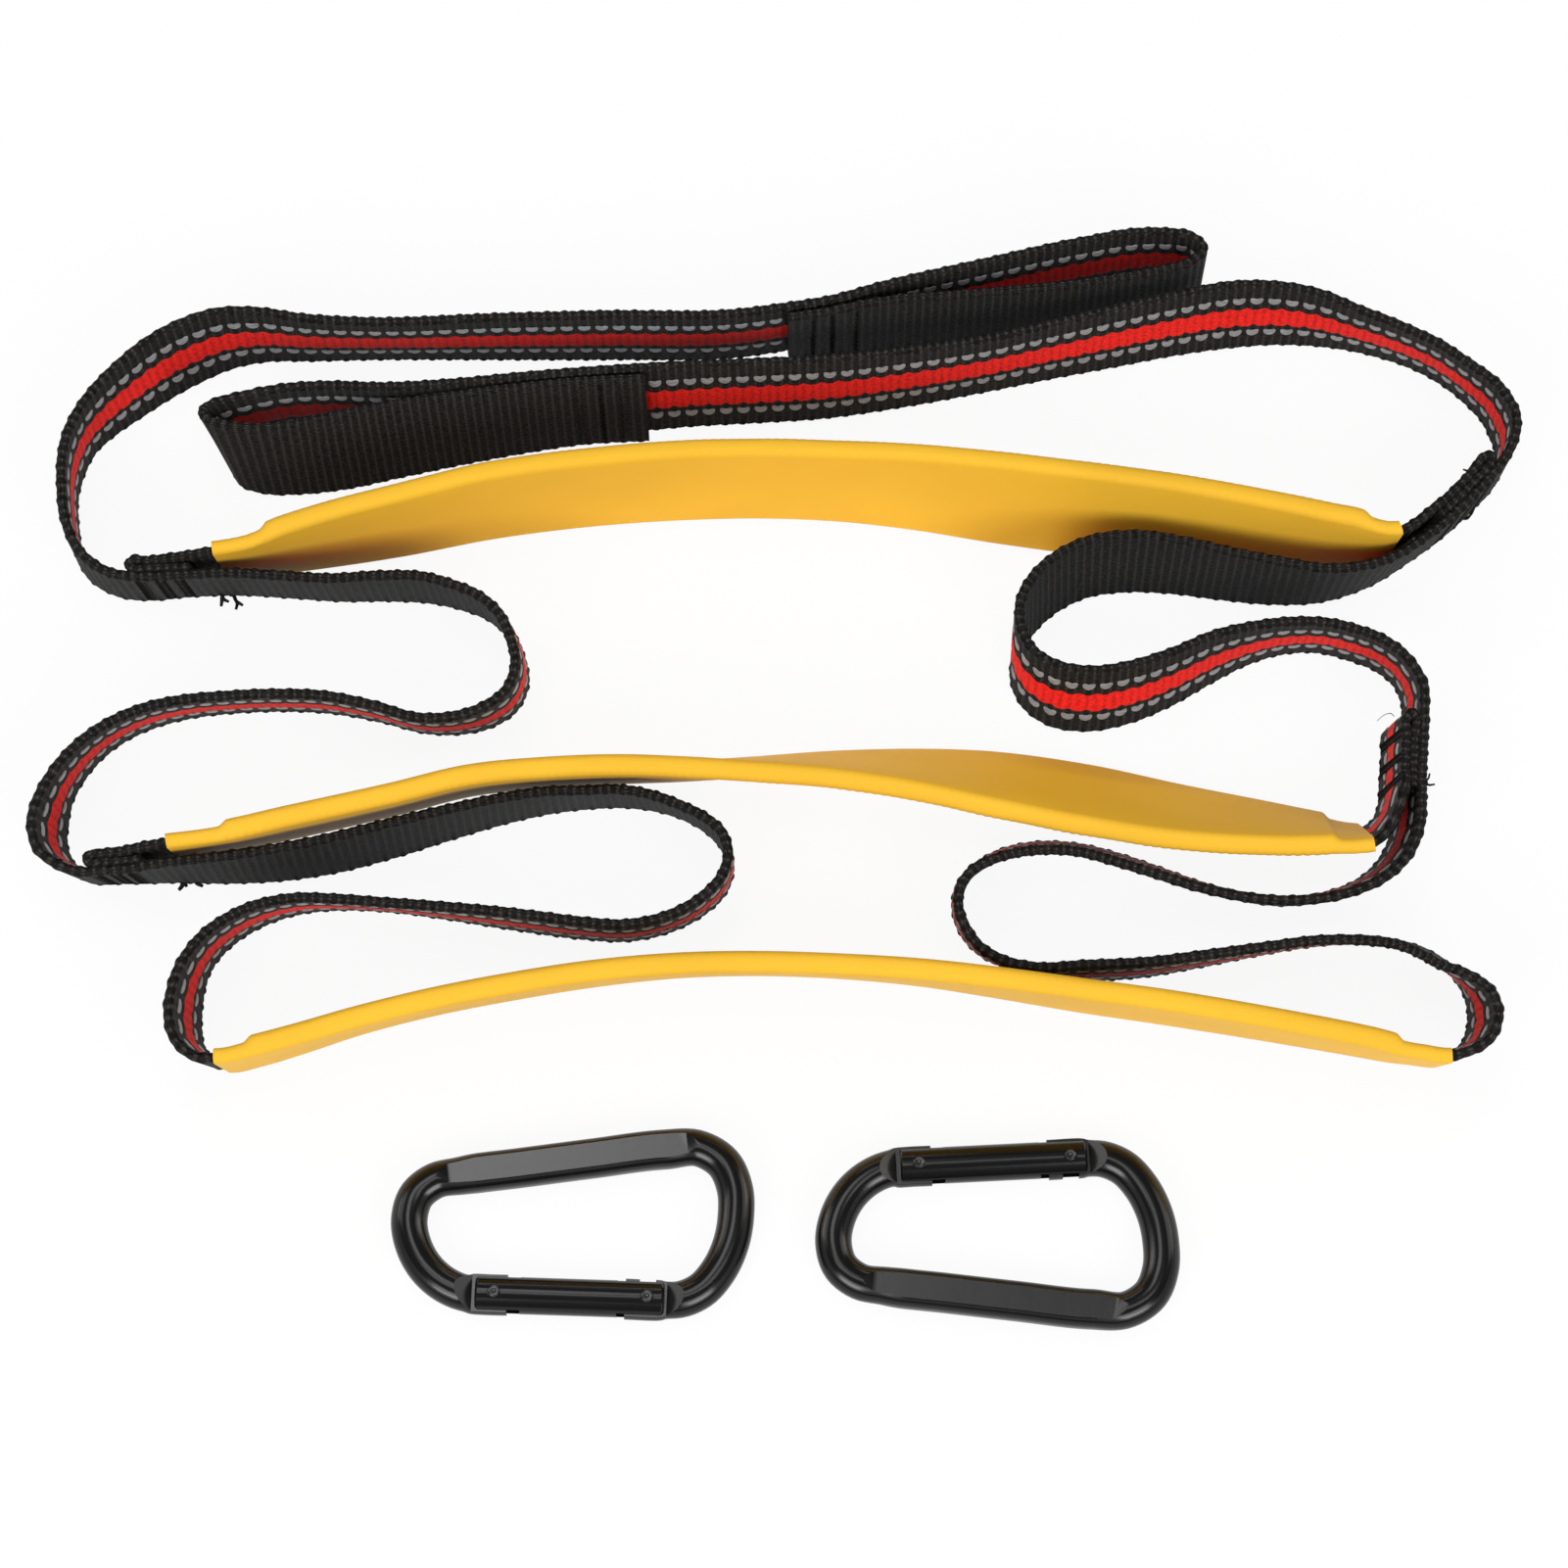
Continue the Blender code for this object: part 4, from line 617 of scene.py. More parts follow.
def smooth_curve(points):
    """A dense smooth curve through route points, and each point's distance along it."""
    route = np.array(points, dtype=float) * MM
    knots = travelled(route)
    slopes = np.gradient(route, knots, axis=0)
    rows = []
    for index in range(len(route) - 1):
        span = knots[index + 1] - knots[index]
        for step in range(CURVE_STEPS):
            u = step / CURVE_STEPS
            rows.append((2 * u**3 - 3 * u**2 + 1) * route[index]
                        + (u**3 - 2 * u**2 + u) * span * slopes[index]
                        + (3 * u**2 - 2 * u**3) * route[index + 1]
                        + (u**3 - u**2) * span * slopes[index + 1])
    rows.append(route[-1])
    dense = np.array(rows)
    travel = travelled(dense)
    return dense, travel, travel[::CURVE_STEPS]


def samples_at(curve, distances):
    """Route values at the given distances along a dense curve."""
    dense, travel, _ = curve
    return np.column_stack([np.interp(distances, travel, column) for column in dense.T])


def distance_to(curve, point):
    """Distance along a dense curve of its nearest place to a point in millimetres."""
    dense, travel, _ = curve
    offsets = dense[:, :2] - np.array(point) * MM
    return travel[np.argmin(np.linalg.norm(offsets, axis=1))]


def even_distances(start, end, step):
    """Evenly spaced distances, no further apart than the step."""
    return np.linspace(start, end, int(math.ceil((end - start) / step)) + 1)


def tab_points(curve, ends, layers):
    """Route points of a tab's layer on the left side of the webbing, counted in layers from it."""
    first, last = [distance_to(curve, point) for point in ends]
    samples = samples_at(curve, np.linspace(first, last, TAB_POINTS))
    points = []
    for (x, y, lean_x, lean_y), tangent in zip(samples, np.gradient(samples[:, :2], axis=0)):
        left = Vector((-tangent[1], tangent[0])).normalized()
        lean = math.asin((left.x * lean_x + left.y * lean_y) / WEBBING_WIDTH)
        offset = layers * TAB_LAYER / math.cos(lean)
        points.append(((x + left.x * offset) / MM, (y + left.y * offset) / MM, lean_x / MM, lean_y / MM))
    return points


def folded_tab(curve, ends, fold_first):
    """Route points of a step's sewn end: it runs along the webbing, folds and runs back under itself."""
    over = tab_points(curve, ends, 2)
    under = tab_points(curve, ends, 1)
    if fold_first:
        tip, before, facing = over[0], over[1], under[0]
    else:
        tip, before, facing = over[-1], over[-2], under[-1]
    ahead = (Vector(tip[:2]) - Vector(before[:2])).normalized() * TAB_LAYER / 2 / MM
    turn = [(a + b) / 2 for a, b in zip(tip, facing)]
    turn[0] += ahead.x
    turn[1] += ahead.y
    if fold_first:
        return under[::-1] + [tuple(turn)] + over
    return over + [tuple(turn)] + under[::-1]


class Route:
    """A length of webbing: its curve, and the sleeve that lifts it off the surface."""

    def __init__(self, points, sleeve):
        self.curve = smooth_curve(points)
        self.length = self.curve[1][-1]
        self.sleeve = [distance_to(self.curve, point) for point in sleeve[:2]]

    def frames(self, distances):
        """Foot, upward and sideways direction of the webbing at distances along it, as arrays."""
        distances = np.asarray(distances, dtype=float)
        samples = samples_at(self.curve, distances)
        reach = samples_at(self.curve, distances + TANGENT_REACH)
        reach = reach - samples_at(self.curve, distances - TANGENT_REACH)
        tangents = reach[:, :2] + reach[:, 2:] / 2
        lean = samples[:, 2:]
        rise = np.sqrt(WEBBING_WIDTH**2 - (lean**2).sum(axis=1))
        up = np.column_stack((lean, rise)) / WEBBING_WIDTH
        side = unit_rows(np.cross(up, np.column_stack((tangents, np.zeros(len(tangents))))))
        outside = np.maximum(np.maximum(self.sleeve[0] - distances, distances - self.sleeve[1]), 0.0)
        lift = STEP_LIFT * eased(1.0 - outside / LIFT_RAMP)
        height = lift + np.abs(side[:, 2]) * WEBBING_THICKNESS / 2
        foot = np.column_stack((samples[:, :2] + LAYOUT_SHIFT, height))
        return foot, up, side

    def at(self, along, across, out):
        """Points at distances along the webbing, heights across it and offsets to its left."""
        foot, up, side = self.frames(along)
        return foot + up * np.asarray(across)[:, None] + side * np.asarray(out)[:, None]

    def hidden(self, distance):
        """Whether a place is well inside the sleeve."""
        return self.sleeve[0] + HIDDEN_MARGIN < distance < self.sleeve[1] - HIDDEN_MARGIN


def make_routes():
    """The main webbing's route and those of the two steps sewn to it."""
    main = Route([point for _, stretch in MAIN_ROUTE for point in stretch], LOWER_SLEEVE)
    steps = []
    for tabs, route, sleeve in ((UPPER_TABS, UPPER_STEP_ROUTE, UPPER_SLEEVE),
                                (MIDDLE_TABS, MIDDLE_STEP_ROUTE, MIDDLE_SLEEVE)):
        first = folded_tab(main.curve, tabs[0], True)
        last = folded_tab(main.curve, tabs[1], False)
        steps.append(Route(first + list(route) + last, sleeve))
    return main, *steps


# Webbing

BLACK, RED, GREY = 0, 1, 2


def section_columns():
    """Points round the webbing's section: height, offset, way out, zone, lag and the material after it."""
    middle = WEBBING_WIDTH / 2
    reach = middle - EDGE_INSET - CORE_HALF
    low, high = middle - reach, middle + reach
    upper = (*FACE_COLUMNS, reach)
    columns = []
    for offset in (*[-offset for offset in upper[::-1]], 0.0, *upper):
        zone = "face"
        if abs(offset) <= STRIPE_HALF:
            zone = "stripe"
        elif abs(abs(offset) - DASH_ROW) < DASH_BAND:
            zone = "dashes"
        number = RED if -STRIPE_HALF <= offset < STRIPE_HALF else BLACK
        columns.append((middle + offset, CORE_HALF, (0.0, 1.0), zone, 0.0, number))
    back = [(across, -CORE_HALF, (0.0, -1.0), "back", 0.0, BLACK)
            for across in (high, middle + reach / 2, middle, middle - reach / 2, low)]
    for centre, sign, following in ((high, 1.0, back), (low, -1.0, [])):
        for index in range(EDGE_POINTS):
            share = (index + 0.5) / EDGE_POINTS
            up, out = sign * math.sin(math.pi * share), sign * math.cos(math.pi * share)
            columns.append((centre + CORE_HALF * up, CORE_HALF * out, (up, out), "edge",
                            EDGE_LAG * abs(share - 0.5), BLACK))
        columns += following
    return columns


COLUMNS = section_columns()


def relief(zone, lag, along):
    """How far the weave stands out at distances along the webbing."""
    rib = np.sqrt(np.abs(np.sin(math.pi * (along / RIB_PITCH + lag))))
    dash = np.cos(2.0 * math.pi * along / DASH_PITCH)
    if zone == "face":
        return FACE_RIB * rib
    if zone == "stripe":
        return FACE_RIB * (STRIPE_RELIEF[0] + STRIPE_RELIEF[1] * rib)
    if zone == "dashes":
        return FACE_RIB * (DASH_RELIEF[0] + DASH_RELIEF[1] * np.maximum(-dash, 0.0))
    if zone == "back":
        return BACK_RIB * rib
    return EDGE_RIB * (1.0 - EDGE_UNEVEN + EDGE_UNEVEN * dash) * rib


def webbing_distances(route, start, end):
    """Section places of a stretch: close together where it shows, far apart inside a sleeve."""
    hidden = [max(start, route.sleeve[0] + HIDDEN_MARGIN), min(end, route.sleeve[1] - HIDDEN_MARGIN)]
    if hidden[1] - hidden[0] < HIDDEN_STEP:
        return even_distances(start, end, FINE_STEP)
    runs = []
    if hidden[0] - start > FINE_STEP:
        runs.append(even_distances(start, hidden[0], FINE_STEP)[:-1])
    runs.append(even_distances(*hidden, HIDDEN_STEP))
    if end - hidden[1] > FINE_STEP:
        runs.append(even_distances(hidden[1], end, FINE_STEP)[1:])
    return np.concatenate(runs)


def add_webbing(builder, route, start, end):
    """The woven body of a stretch: ribs on both faces, corded edges and the red stripe."""
    distances = webbing_distances(route, start, end)
    foot, up, side = route.frames(distances)
    wave = STRIPE_WAVE * np.cos(2.0 * math.pi * distances / DASH_PITCH)
    rings = []
    coordinates = []
    for index, (across, out, (up_share, side_share), zone, lag, _) in enumerate(COLUMNS):
        stand = relief(zone, lag, distances)
        height = across + up_share * stand
        from_middle = across - WEBBING_WIDTH / 2
        if abs(abs(from_middle) - STRIPE_HALF) < NEARLY_SAME and zone == "stripe":
            height = height - wave * np.sign(from_middle)
        offset = out + side_share * stand
        rings.append(foot + up * height[:, None] + side * offset[:, None])
        place = np.full(len(distances), across + out + index * WEAVE_SHIFT)
        coordinates.append(np.column_stack((distances, place)))
    numbers = [column[-1] for column in COLUMNS] * (len(distances) - 1) + [BLACK, BLACK]
    builder.add(np.stack(rings, axis=1).reshape(-1, 3), tube_faces(len(distances), len(COLUMNS)), numbers,
                np.stack(coordinates, axis=1).reshape(-1, 2))


def add_dashes(builder, route, start, end):
    """Two rows of raised grey dashes beside the red stripe, each a shallow dish with a dented upper side."""
    along_shape, across_shape = [np.concatenate([size * shape for size, _ in DASH_PROFILE])
                                 for shape in np.array(DASH_OUTLINE).T]
    out = np.repeat([CORE_HALF + DASH_HEIGHT * height for _, height in DASH_PROFILE], len(DASH_OUTLINE))
    faces = tube_faces(len(DASH_PROFILE), len(DASH_OUTLINE))
    first = int(math.ceil((start + DASH_HALF_LENGTH) / DASH_PITCH))
    last = int(math.floor((end - DASH_HALF_LENGTH) / DASH_PITCH))
    for index in range(first, last + 1):
        if route.hidden(index * DASH_PITCH):
            continue
        along = index * DASH_PITCH + DASH_HALF_LENGTH * along_shape
        for row in (-DASH_ROW, DASH_ROW):
            across = WEBBING_WIDTH / 2 + row + DASH_HALF_WIDTH * across_shape
            builder.add(route.at(along, across, out), faces, GREY, np.column_stack((along, across)))


def make_webbing(node, route, start, end):
    """One stretch of webbing with its stripe and dashes, as a sheet of its own cut length."""
    builder = Builder()
    add_webbing(builder, route, start, end)
    add_dashes(builder, route, start, end)
    piece = builder.piece(f"{node}_webbing", (BLACK_YARN, RED_YARN, GREY_DASH))
    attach(piece, "ladder")
    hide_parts(node)


def make_all_webbing(main, upper, middle):
    """Every stretch of the main webbing, and the two steps' own webbing."""
    last_point = -1
    start = 0.0
    for node, stretch in MAIN_ROUTE:
        last_point += len(stretch)
        end = main.curve[2][last_point]
        make_webbing(node, main, start, end)
        start = end
    for node, route in (("upper_step_strap", upper), ("middle_step_strap", middle)):
        make_webbing(node, route, 0.0, route.length)


# Sewing

def finish_sewing(builder, name):
    """One piece of black thread on the ladder."""
    piece = builder.piece(name, (BLACK_YARN,))
    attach(piece, "ladder")


def add_stitches(builder, route, centres, half_width, pitch, out):
    """Rows of zigzag stitching across one of the webbing's faces, at places along it."""
    low, high = STITCH_ENDS
    across = np.linspace(low, high, 2 * int((high - low) / pitch) + 1)
    swing = half_width * np.where(np.arange(len(across)) % 2 == 0, -1.0, 1.0)
    for centre in centres:
        along = centre + swing
        points = route.at(along, across, np.full(len(across), out))
        vertices, faces = tube(points, [THREAD_RADIUS] * len(points))
        builder.add(vertices, faces, BLACK, np.repeat(np.column_stack((along, across)), THREAD_SIDES, axis=0))


def make_bar_tacks(name, main, step, ends, at_start):
    """The bar tacks of one sewn tab, on its outer face and on the far side of the main webbing."""
    first, last = [distance_to(main.curve, point) for point in ends]
    length = last - first
    fold = length + math.pi * TAB_LAYER / 2
    tab = fold if at_start else step.length - fold - length
    builder = Builder()
    for route, start, out in ((step, tab, STITCH_OUT), (main, first, -STITCH_OUT)):
        centres = [start + share * length for share in TACK_SHARES]
        add_stitches(builder, route, centres, TACK_HALF_WIDTH, TACK_PITCH, out)
    finish_sewing(builder, name)


def make_sewing(main, upper, middle):
    """Bar tacks on the four sewn tabs and cross seams on the two eyes."""
    for label, step, tabs in (("upper", upper, UPPER_TABS), ("middle", middle, MIDDLE_TABS)):
        make_bar_tacks(f"{label}_left_bar_tacks", main, step, tabs[0], True)
        make_bar_tacks(f"{label}_right_bar_tacks", main, step, tabs[1], False)
    left_eye = [main.length - distance for distance in SEAM_PLACES]
    for label, places in (("right", SEAM_PLACES), ("left", left_eye)):
        builder = Builder()
        add_stitches(builder, main, places, SEAM_HALF_WIDTH, SEAM_PITCH, -STITCH_OUT)
        finish_sewing(builder, f"{label}_eye_seams")


def make_thread(name, paths):
    """Loose ends of thread: tubes that thin out along given points, in millimetres."""
    builder = Builder()
    for start_radius, end_radius, points in paths:
        curve = np.array(points, dtype=float) * MM
        curve[:, :2] += LAYOUT_SHIFT
        knots = np.arange(len(curve))
        fine = np.linspace(0.0, len(curve) - 1.0, 4 * len(curve))
        path = np.column_stack([np.interp(fine, knots, column) for column in curve.T])
        path[1:-1] = (path[:-2] + 2.0 * path[1:-1] + path[2:]) / 4.0
        vertices, faces = tube(path, np.linspace(start_radius, end_radius, len(path)) * MM)
        builder.add(vertices, faces, BLACK, np.repeat(path[:, :2], THREAD_SIDES, axis=0))
    finish_sewing(builder, name)


# Sleeves

def sleeve_outline(front, back, width, inset):
    """Points round a flat tube: offset to the left of the webbing and height from its lower edge."""
    front = front - inset
    back = back - inset
    low = -STEP_LIFT + inset
    high = width - STEP_LIFT - inset
    corner = min(SLEEVE_CORNER - 0.5 * inset, SLEEVE_ROUNDEST * (front + back))
    flat = high - low - 2 * corner
    points = []
    for out, height, first_turn, following in (
            (back - corner, high - corner, 0.0, 0.0), (-front + corner, high - corner, 0.5, -flat),
            (-front + corner, low + corner, 1.0, 0.0), (back - corner, low + corner, 1.5, flat)):
        for share in (0.0, 0.25, 0.5, 0.75, 1.0):
            turn = math.pi * (first_turn + 0.5 * share)
            points.append((out + corner * math.cos(turn), height + corner * math.sin(turn)))
        if following:
            x, y = points[-1]
            points += [(x, y + following * share) for share in (0.25, 0.5, 0.75)]
    return np.array(points)


def sleeve_rings(route, distances, thin_ends, inset):
    """Rings of a sleeve's outer or inner surface."""
    foot, up, side = route.frames(distances)
    rings = []
    for index, distance in enumerate(distances):
        past_thin = min(distance - route.sleeve[0] - thin_ends[0], route.sleeve[1] - distance - thin_ends[1])
        step = eased(past_thin / SLEEVE_SHOULDER)
        taper = eased(past_thin / SLEEVE_TAPER + 0.5)
        front = SLEEVE_END_DEPTH + taper * (SLEEVE_FRONT_DEPTH - SLEEVE_END_DEPTH)
        back = SLEEVE_END_DEPTH + step * (SLEEVE_BACK_DEPTH - SLEEVE_END_DEPTH)
        width = SLEEVE_END_WIDTH + taper * (SLEEVE_WIDTH - SLEEVE_END_WIDTH)
        outline = sleeve_outline(front, back, width, inset)
        if inset == 0.0:
            fast, slow = [math.sin(wave * distance) for wave in RIPPLE_WAVES]
            uneven = RIPPLE_HEIGHTS[0] + RIPPLE_HEIGHTS[1] * fast * slow
            ripple = SLEEVE_RIPPLE * uneven * abs(math.sin(math.pi * distance / RIB_PITCH))
            outline[1:4] += RIPPLE_BACK * ripple
            outline[6:9] += (-ripple, ripple)
        rings.append(foot[index] + np.outer(outline[:, 0], side[index]) + np.outer(outline[:, 1], up[index]))
    return np.concatenate(rings), len(outline)


def make_sleeve(label, route, thin_ends):
    """A flat yellow tube over a step, closed between its outer and inner wall at both ends."""
    fine = even_distances(*route.sleeve, FINE_STEP)
    coarse = even_distances(*route.sleeve, HIDDEN_STEP)
    outer, sides = sleeve_rings(route, fine, thin_ends, 0.0)
    inner, _ = sleeve_rings(route, coarse, thin_ends, SLEEVE_WALL)
    faces = grid_faces(len(fine), sides)
    faces += [[len(outer) + corner for corner in reversed(face)] for face in grid_faces(len(coarse), sides)]
    far_outer, far_inner = len(outer) - sides, len(outer) + len(inner) - sides
    for index in range(sides):
        after = (index + 1) % sides
        faces.append((after, index, len(outer) + index, len(outer) + after))
        faces.append((far_outer + index, far_outer + after, far_inner + after, far_inner + index))
    piece = add_piece(f"{label}_step_tube", np.concatenate((outer, inner)), faces, (YELLOW_SLEEVE,))
    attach(piece, "ladder")
    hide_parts(f"{label}_sleeve")


# Snap links

def loose_solid(name, vertices, faces):
    """A closed solid with its faces turned outwards, not in the scene yet."""
    mesh = bmesh.new()
    corners = [mesh.verts.new(point) for point in vertices]
    for face in faces:
        mesh.faces.new([corners[corner] for corner in face])
    bmesh.ops.recalc_face_normals(mesh, faces=mesh.faces)
    data = bpy.data.meshes.new(name)
    mesh.to_mesh(data)
    mesh.free()
    return bpy.data.objects.new(name, data)


def prism(name, outline, low, high):
    """A cutter: an outline in x and z, drawn out along y."""
    count = len(outline)
    vertices = [(x, y, z) for y in (low, high) for x, z in outline]
    faces = [range(count), range(2 * count - 1, count - 1, -1)]
    for index in range(count):
        after = (index + 1) % count
        faces.append((after, index, count + index, count + after))
    return loose_solid(name, vertices, faces)


def box_cutter(name, x_ends, half_height, y_ends):
    """A cutter with straight sides."""
    first, last = x_ends
    outline = ((first, -half_height), (last, -half_height), (last, half_height), (first, half_height))
    return prism(name, outline, *y_ends)


def both_faces(name, outline, half_width):
    """Cutters for the upper and the lower face from one outline."""
    under = [(x, -z) for x, z in reversed(outline)]
    return [prism(f"{name}_top", outline, -half_width, half_width),
            prism(f"{name}_bottom", under, -half_width, half_width)]


def turned_rod(name, profile, sides=BAR_SIDES):
    """A round rod along x from distances and radii."""
    vertices = [(x, radius * math.cos(turn), radius * math.sin(turn))
                for x, radius in profile for turn in turns_round(sides)]
    return loose_solid(name, vertices, tube_faces(len(profile), sides))


def upright_rod(name, x, profile):
    """A round rod along z, for a pin or its hole."""
    made = turned_rod(name, profile, PIN_SIDES)
    made.data.transform(Matrix.Translation((x, 0.0, 0.0)) @ Matrix.Rotation(math.radians(-90.0), 4, "Y"))
    return made


def pin_hole(name, x):
    """A cutter for a pin's hole."""
    radius = PIN_RADIUS + PIN_CLEARANCE
    return upright_rod(name, x, ((-CUTTER_REACH, radius), (CUTTER_REACH, radius)))


def cut_away(target, cutters):
    """Puts a solid in the scene, takes cutters out of it for good and removes them."""
    scene = bpy.context.scene.collection.objects
    scene.link(target)
    for cutter in cutters:
        scene.link(cutter)
        boolean = target.modifiers.new(cutter.name, "BOOLEAN")
        boolean.operation = "DIFFERENCE"
        boolean.solver = "EXACT"
        boolean.object = cutter
    graph = bpy.context.evaluated_depsgraph_get()
    data = bpy.data.meshes.new_from_object(target.evaluated_get(graph))
    target.modifiers.clear()
    target.data = data
    for cutter in cutters:
        bpy.data.objects.remove(cutter, do_unlink=True)


def link_bar(name):
    """The bent bar before it is pressed and milled."""
    curve = smooth_curve(LINK_OUTLINE)
    length = curve[1][-1]
    wide = [distance_to(curve, point) for point in (SPINE_START, SPINE_END)]
    distances = even_distances(0.0, length, BAR_STEP)
    centres = samples_at(curve, distances)
    tangents = unit_rows(np.gradient(centres, axis=0))
    vertices = []
    for distance, (x, y), (along_x, along_y) in zip(distances, centres, tangents):
        inside = min(distance - wide[0], wide[1] - distance) / SPINE_BLEND + 0.5
        spread = (TONGUE_LENGTH - min(distance, length - distance)) / TONGUE_BLEND
        radius = BAR_RADIUS + (SPINE_RADIUS - BAR_RADIUS) * eased(inside)
        radius *= 1.0 + TONGUE_SPREAD * np.clip(spread, 0.0, 1.0)
        squareness = 1.0 - SPINE_SQUARENESS * np.clip(inside, 0.0, 1.0)
        for turn in turns_round(BAR_SIDES):
            out, height = [math.copysign(abs(share)**squareness, share)
                           for share in (math.cos(turn), math.sin(turn))]
            vertices.append((x - along_y * radius * out, y + along_x * radius * out,
                             min(radius, BAR_RADIUS) * height))
    return loose_solid(name, vertices, tube_faces(len(distances), BAR_SIDES))


def frame_cutters(name):
    """What is pressed and milled off a link's bar: the spine's flats, the tongues, a hole and a notch."""
    reach = CUTTER_REACH
    half = SPINE_FLAT_LENGTH / 2
    run = half + SPINE_RAMP * reach / (BAR_RADIUS - SPINE_HALF_THICKNESS)
    low, high = SPINE_HALF_THICKNESS, SPINE_HALF_THICKNESS + reach
    spine = [(-half, low), (half, low), (run, high), (-run, high)]
    cutters = both_faces(f"{name}_spine", spine, reach / 2)
    slope = math.atan2(SPINE_END[1] - SPINE_START[1], SPINE_END[0] - SPINE_START[0])
    middle = Matrix.Translation((SPINE_MIDDLE[0] * MM, SPINE_MIDDLE[1] * MM, 0.0))
    for cutter in cutters:
        cutter.data.transform(middle @ Matrix.Rotation(slope, 4, "Z"))
    rise = TONGUE_RAMP * reach / (BAR_RADIUS - TONGUE_HALF_THICKNESS)
    low, high = TONGUE_HALF_THICKNESS, TONGUE_HALF_THICKNESS + reach
    hinge = [(HINGE_RAMP_FOOT, low), (HINGE_FORK_DEPTH, low), (HINGE_FORK_DEPTH, high),
             (HINGE_RAMP_FOOT - rise, high)]
    latch = [(LATCH_FORK_DEPTH, low), (LATCH_RAMP_FOOT, low), (LATCH_RAMP_FOOT + rise, high),
             (LATCH_FORK_DEPTH, high)]
    cutters += both_faces(f"{name}_hinge", hinge, TONGUE_REACH)
    cutters += both_faces(f"{name}_latch", latch, TONGUE_REACH)
    cutters.append(pin_hole(f"{name}_hole", 0.0))
    notch = PIN_RADIUS + 2 * PIN_CLEARANCE
    mouth = (LATCH_PIN_X - notch, LATCH_PIN_X + notch)
    cutters.append(box_cutter(f"{name}_notch", mouth, reach, (-notch, reach)))
    recess = (RECESS_HALF, TONGUE_TIP + reach)
    cutters.append(box_cutter(f"{name}_recess", recess, reach, (-RECESS_HALF, RECESS_INNER)))
    return cutters


def gate_cutters(name):
    """What is milled out of a gate: its two forks, the pins' holes and the spring's bore."""
    reach = CUTTER_REACH
    cutters = []
    forks = {"hinge": (-reach, HINGE_FORK_DEPTH), "latch": (LATCH_FORK_DEPTH, GATE_END + reach)}
    for label, ends in forks.items():
        cutters.append(box_cutter(f"{name}_{label}_fork", ends, FORK_HALF_GAP, (-reach, reach)))
    for label, x in (("hinge", 0.0), ("latch", LATCH_PIN_X)):
        cutters.append(pin_hole(f"{name}_{label}_hole", x))
    bore = ((HINGE_FORK_DEPTH - MM, BORE_RADIUS), (BORE_END, BORE_RADIUS))
    cutters.append(turned_rod(f"{name}_bore", bore, BORE_SIDES))
    return cutters


def finish_metal(piece, place, milled):
    """Shades a metal piece, may give its flat faces a milled finish, and puts it where its link lies."""
    data = piece.data
    data.materials.clear()
    data.materials.append(BLACK_ALUMINIUM)
    data.materials.append(MILLED_BLACK)
    for polygon in data.polygons:
        flat = abs(polygon.normal.z) > FLAT_LEVEL and abs(polygon.center.z) < FLAT_HEIGHT
        polygon.material_index = int(milled and flat and polygon.area > FLAT_AREA)
    mesh = bmesh.new()
    mesh.from_mesh(data)
    bmesh.ops.remove_doubles(mesh, verts=mesh.verts, dist=MERGE_DISTANCE)
    bmesh.ops.dissolve_degenerate(mesh, edges=mesh.edges, dist=MERGE_DISTANCE)
    mesh.to_mesh(data)
    mesh.free()
    data.shade_smooth()
    data.set_sharp_from_angle(angle=SHARP_ANGLE)
    data.transform(place)
    rounding = piece.modifiers.new("soft_edges", "BEVEL")
    rounding.width = EDGE_ROUNDING
    rounding.segments = 2
    rounding.limit_method = "ANGLE"
    rounding.angle_limit = ROUNDED_ANGLE
    rounding.harden_normals = True


def make_pin(name, node, body, x, place):
    """A riveted pin: a low dome with a small dimple at each end."""
    upper = [(PIN_HALF_LENGTH + height * MM, share * PIN_RADIUS) for height, share in RIVET_PROFILE]
    lower = [(-distance, radius) for distance, radius in upper]
    made = upright_rod(name, x, lower + upper[::-1])
    made.data.materials.append(BLACK_STEEL)
    made.data.shade_smooth()
    made.data.set_sharp_from_angle(angle=SHARP_ANGLE)
    made.data.transform(place)
    bpy.context.scene.collection.objects.link(made)
    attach(made, body)
    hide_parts(node)


def make_link(name, hinge, turn, turned_over):
    """One snap link: its bar, its gate and the two riveted pins."""
    x, y = np.array(hinge) * MM + LAYOUT_SHIFT
    flip = Matrix.Rotation(math.pi if turned_over else 0.0, 4, "X")
    place = Matrix.Translation((x, y, LINK_HEIGHT)) @ Matrix.Rotation(math.radians(turn), 4, "Z") @ flip

    bar = link_bar(f"{name}_bar")
    cut_away(bar, frame_cutters(name))
    finish_metal(bar, place, True)
    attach(bar, name)
    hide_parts(f"{name}_frame")

    end_radius = GATE_RADIUS - GATE_CHAMFER
    profile = ((GATE_START, end_radius), (GATE_START + GATE_CHAMFER, GATE_RADIUS),
               (GATE_END - GATE_CHAMFER, GATE_RADIUS), (GATE_END, end_radius))
    gate = turned_rod(f"{name}_gate_bar", profile)
    cut_away(gate, gate_cutters(name))
    finish_metal(gate, place, False)
    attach(gate, f"{name}_gate")
    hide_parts(f"{name}_gate")

    make_pin(f"{name}_hinge_rivet", f"{name}_hinge_pin", name, 0.0, place)
    make_pin(f"{name}_latch_rivet", f"{name}_latch_pin", f"{name}_gate", LATCH_PIN_X, place)


def finish_carried_over():
    """Better materials on the solids that stay: the inserts, plungers and springs."""
    for kind, finish in (("insert", INSERT_PLASTIC), ("plunger", BLACK_STEEL), ("spring", SPRING_STEEL)):
        for name, item in frame["nodes"].items():
            if name.endswith(kind):
                item.data.materials.clear()
                item.data.materials.append(finish)


# Stage

